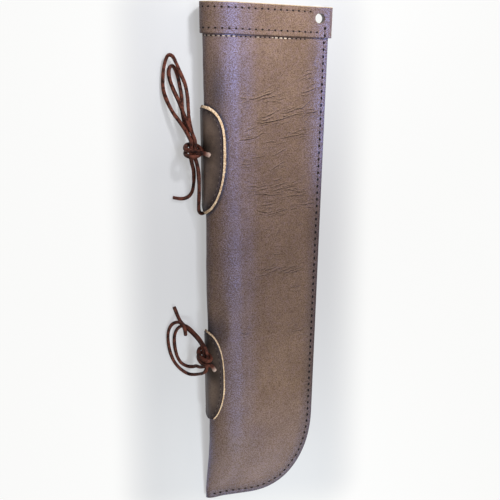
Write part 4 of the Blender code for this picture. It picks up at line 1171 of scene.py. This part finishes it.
def stitch_mesh(node, rows, thread, hole, width, arch, hole_size, share=0.72):
    """Stitches from hole to hole, and dark discs of painted shade where they go into their holes."""
    points, faces, indices = [], [], []

    def ring(centre, side, up, across, above, count):
        first = len(points)
        for place in range(count):
            angle = 2 * math.pi * place / count
            points.append(centre + side * math.cos(angle) * across + up * math.sin(angle) * above)
        return tuple(range(first, first + count))

    for seats in rows:
        for (here, up_here), (there, up_there) in zip(seats, seats[1:]):
            up = (up_here + up_there).normalized()
            side = (there - here).normalized().cross(up).normalized()
            rings = []
            for place in np.linspace(-1.0, 1.0, STITCH_RINGS):
                fall = 1.0 - place * place
                half = width / 2 * (0.45 + 0.55 * math.sqrt(fall))
                centre = (here + there) / 2 + (there - here) * share / 2 * place
                centre += up * (arch * fall - STITCH_SINK * abs(place))
                rings.append(ring(centre, side, up, half, half / 1.2, STITCH_SIDES))
            faces += grid_faces(STITCH_RINGS, STITCH_SIDES, close_columns=True, first=rings[0][0])
            faces += [rings[0], rings[-1][::-1]]
        indices += [0] * (len(faces) - len(indices))
        # dark discs of painted shade at each stitch hole
        for (place, up), (following, _) in zip(seats, seats[1:] + seats[-2:-1]):
            side = (following - place).cross(up).normalized()
            along = up.cross(side)
            outer = ring(place + up * 0.00006, along, side, hole_size * 1.3, hole_size, HOLE_SIDES)
            inner = ring(place + up * 0.00010, along, side, hole_size * 0.8, hole_size * 0.6,
                         HOLE_SIDES)
            faces += grid_faces(2, HOLE_SIDES, close_columns=True, first=outer[0])
            faces.append(inner)
        indices += [1] * (len(faces) - len(indices))
    dress(mesh_object("dressed_" + node, points, faces, [thread, hole], indices), node)


def seam_seats(tree, highest, lowest, down):
    inner = offset_line(OUTLINE, -SEAM_INSET)
    lengths = arcs_of(inner)
    way = Vector((0, 0, down))
    path = []
    for length in np.arange(0.0, lengths[-1] - SEAM_END, SEAM_PITCH / 2):
        x, y = (np.interp(length, lengths, inner[:, axis]) for axis in range(2))
        hit = tree.ray_cast(Vector((x, y, 0.0)) - way * DEPTH * 2, way)[0]
        if hit and lowest <= y <= highest:
            path.append(hit - way * STITCH_HEIGHT)
    return seats_on(tree, path, SEAM_PITCH)


def mouth_seats(tree, depth, lift, stop, pitch):
    line = wrap_line(TOP_Y - depth, lift)
    return seats_on(tree, round_spine(line, line[2][:, 0].max() - stop), pitch)


def tab_seats(tree, tab, inset):
    centre, up, down, widest, powers = tab
    inner = (centre, up - inset, down - inset, widest - inset, powers)
    path = []
    for angle in np.linspace(0.0, 2 * math.pi, 160):
        reach = math.cos(angle)
        y = centre + reach * (inner[1] if reach > 0 else inner[2])
        arc = math.copysign(tab_half_width(y, inner), math.sin(angle))
        path.append(tab_point(y, arc, TAB_LEATHER / 2 + STITCH_HEIGHT))
    return seats_on(tree, path, TAB_PITCH)


def make_threads(sheath, band, upper_tab, lower_tab):
    brown = thread_material("seam_thread", (0.190, 0.130, 0.115), (0.110, 0.074, 0.066))
    light = thread_material("facing_thread", (0.800, 0.680, 0.540), (0.560, 0.440, 0.330),
                            (0.190, 0.130, 0.105))
    pale = thread_material("tab_thread", (0.24, 0.19, 0.16), (0.12, 0.088, 0.070))
    hole = hole_shade_material()
    on_band, on_body = surface_of(band), surface_of(sheath)
    edge = TOP_Y - MOUTH_FALL - BAND_HEIGHT
    for node, down in (("front_seam_thread", -1), ("back_seam_thread", 1)):
        rows = [seam_seats(on_band, TOP_Y - SEAM_START, edge + 0.0012, down),
                seam_seats(on_body, edge - 0.0026, BOTTOM_Y, down)]
        stitch_mesh(node, rows, brown, hole, 0.0006, 0.00016, 0.00108)
    over_body = LEATHER / 2 + STITCH_HEIGHT
    over_band = over_body + GAP + BAND_LEATHER
    for node, tree, depth, lift, stop, pitch, thread, width, size in (
            ("band_upper_thread", on_band, BAND_INSET, over_band, UPPER_ROW_STOP, SEAM_PITCH,
             brown, 0.0006, 0.00085),
            ("band_lower_thread", on_band, BAND_HEIGHT - BAND_INSET, over_band, LOWER_ROW_STOP,
             SEAM_PITCH, brown, 0.0006, 0.00085),
            ("facing_thread", on_body, BAND_HEIGHT + FINE_DROP, over_body, FINE_ROW_STOP, FINE_PITCH,
             light, 0.0009, 0.00072)):
        seats = mouth_seats(tree, depth, lift, stop, pitch)
        stitch_mesh(node, [seats], thread, hole, width, 0.00018, size)
    for node, piece, tab, inset in (("upper_tab_thread", upper_tab, UPPER_TAB, 0.0042),
                                    ("lower_tab_thread", lower_tab, LOWER_TAB, 0.0036)):
        seats = tab_seats(surface_of(piece), tab, inset)
        stitch_mesh(node, [seats], pale, hole, 0.0006, 0.00020, 0.00040, 0.25)


# Stage and light

def make_stage():
    """A pale floor that keeps soft shadows, with painted shade that makes it greyer near the holder,
    painted light under the hang hole, and an even pale world.
    """
    shader = Shader("backdrop", (0.62, 0.62, 0.62))
    x, y = shader.axis(0), shader.axis(1)
    # painted shade: the floor turns greyer within a few centimetres of the holder
    aside = shader.past(shader.math("SUBTRACT", x, HOLDER_MIDDLE), HOLDER_SIDE)
    far = shader.span(shader.length(aside, shader.past(y, HOLDER_END)), 0.0, 0.050)
    # painted light: the floor under the hang hole glows as bright as the far floor
    hole = shader.length(*(shader.math("SUBTRACT", *pair) for pair in zip((x, y), HOLE_PLACE)))
    painted_bright = shader.math("MAXIMUM", far, shader.span(hole, 0.010, 0.014, 1.0, 0.0))
    shader.finish(Roughness=0.9)
    glow = shader.fed("ShaderNodeEmission",
                      {"Color": shader.mix(painted_bright, (0.76, 0.76, 0.77), (1.0, 1.0, 0.99))})
    ray = shader.node("ShaderNodeLightPath")
    seen = shader.math("MAXIMUM", ray.outputs["Is Camera Ray"], ray.outputs["Is Glossy Ray"])
    share = shader.math("MULTIPLY", seen, shader.span(painted_bright, 0.0, 1.0, 0.55, 0.93, "LINEAR"))
    blend = shader.fed("ShaderNodeMixShader", {0: share, 1: shader.surface.outputs[0], 2: glow})
    shader.put(shader.tree.nodes["Material Output"].inputs["Surface"], blend)
    bpy.ops.mesh.primitive_plane_add(size=6.0, location=(0, 0, -0.0002))
    floor = bpy.context.object
    floor.name = "floor"
    floor.data.materials.append(shader.material)

    SCENE.world = bpy.data.worlds.new("studio")
    sky = Nodes(SCENE.world)
    dim = sky.tree.nodes["Background"]
    sky.put(dim.inputs["Color"], (1.0, 0.94, 0.82))
    sky.put(dim.inputs["Strength"], WORLD_LEVEL)
    white = sky.fed("ShaderNodeBackground", {"Color": (1.0, 1.0, 1.0)})
    seen = sky.node("ShaderNodeLightPath").outputs["Is Camera Ray"]
    blend = sky.fed("ShaderNodeMixShader", {0: seen, 1: dim.outputs[0], 2: white})
    sky.put(sky.tree.nodes["World Output"].inputs["Surface"], blend)


def make_light(name, kind, place, target, power, color, glossy=True, **settings):
    data = bpy.data.lights.new(name, kind)
    data.energy = power
    data.color = color
    for key, value in settings.items():
        setattr(data, key, value)
    obj = bpy.data.objects.new(name, data)
    obj.location = place
    obj.visible_glossy = glossy
    obj.rotation_euler = (Vector(target) - Vector(place)).to_track_quat("-Z", "Y").to_euler()
    SCENE.collection.objects.link(obj)


def make_lights():
    """Five soft panels overhead, a key from the right, and a soft spot on each end."""
    panels = (("overhead_mouth", 0.125, 0.27, 0.18, 0.28, 2.75, (0.74, 0.80, 1.0)),
              ("overhead_middle", 0.140, -0.13, 0.15, 0.48, 0.27, (1.0, 0.82, 0.80)),
              ("overhead_toe", 0.160, -0.60, 0.20, 0.40, 0.85, (1.0, 0.94, 0.72)),
              ("overhead_right", 0.360, 0.22, 0.15, 0.34, 2.3, (0.78, 0.82, 1.0)),
              ("toe_panel", 0.300, -0.95, 0.70, 0.60, 2.2, (0.95, 1.00, 0.85)))
    for name, x, y, width, length, power, color in panels:
        make_light(name, "AREA", (x, y, 1.05), (x, y, 0.0), power, color,
                   shape="RECTANGLE", size=width, size_y=length)
    make_light("key", "AREA", (0.75, 0.65, 0.62), (0.0, 0.0, 0.0), 3.0, (1.0, 0.94, 0.86), False,
               shape="RECTANGLE", size=0.45, size_y=0.45)
    for name, place, aim, power, color, angle in (
            ("mouth_spot", (0.35, 0.90, 0.90), 0.260, 128.0, (0.92, 0.95, 1.0), 17),
            ("toe_spot", (0.30, -0.80, 0.95), -0.240, 71.0, (0.84, 0.94, 1.0), 20)):
        make_light(name, "SPOT", place, (0.0, aim, 0.0), power, color, False,
                   spot_size=math.radians(angle), spot_blend=1.0, shadow_soft_size=0.12)


# Building

make_camera()
make_laces()
leather = leather_material()
burnished = raw_edge_material("burnished_edge", (0.14, 0.09, 0.075), (0.07, 0.045, 0.04))
tan_edge = raw_edge_material("tan_edge", (0.62, 0.47, 0.27), (0.34, 0.23, 0.13))
cream_edge = raw_edge_material("cream_edge", (0.95, 0.74, 0.50), (0.50, 0.29, 0.15))
lining = lining_material()
tab_leather = tab_material()
sheath = make_sheath(leather, burnished, lining)
band = make_band(leather, tan_edge)
make_facing(lining)
punch([sheath, band], cream_edge)
# painted shadow of the knots and lace strands on each tab: (place, radius)
upper_lace_shadows = (((-0.0530, 0.1030, 0.018), 0.018), ((-0.0555, 0.080, 0.012), 0.010),
                ((-0.0560, 0.063, 0.010), 0.009), ((-0.0550, 0.051, 0.010), 0.008))
lower_lace_shadows = (((-0.0525, -0.072, 0.016), 0.013), ((-0.0530, -0.091, 0.018), 0.013),
                ((-0.0480, -0.100, 0.021), 0.011))
upper_tab = make_tab("upper_tab", UPPER_TAB, 0.0021, upper_lace_shadows, tab_leather, cream_edge)
lower_tab = make_tab("lower_tab", LOWER_TAB, 0.0010, lower_lace_shadows, tab_leather, cream_edge)
make_threads(sheath, band, upper_tab, lower_tab)
make_stage()
make_lights()
SCENE.view_settings.view_transform = "Standard"
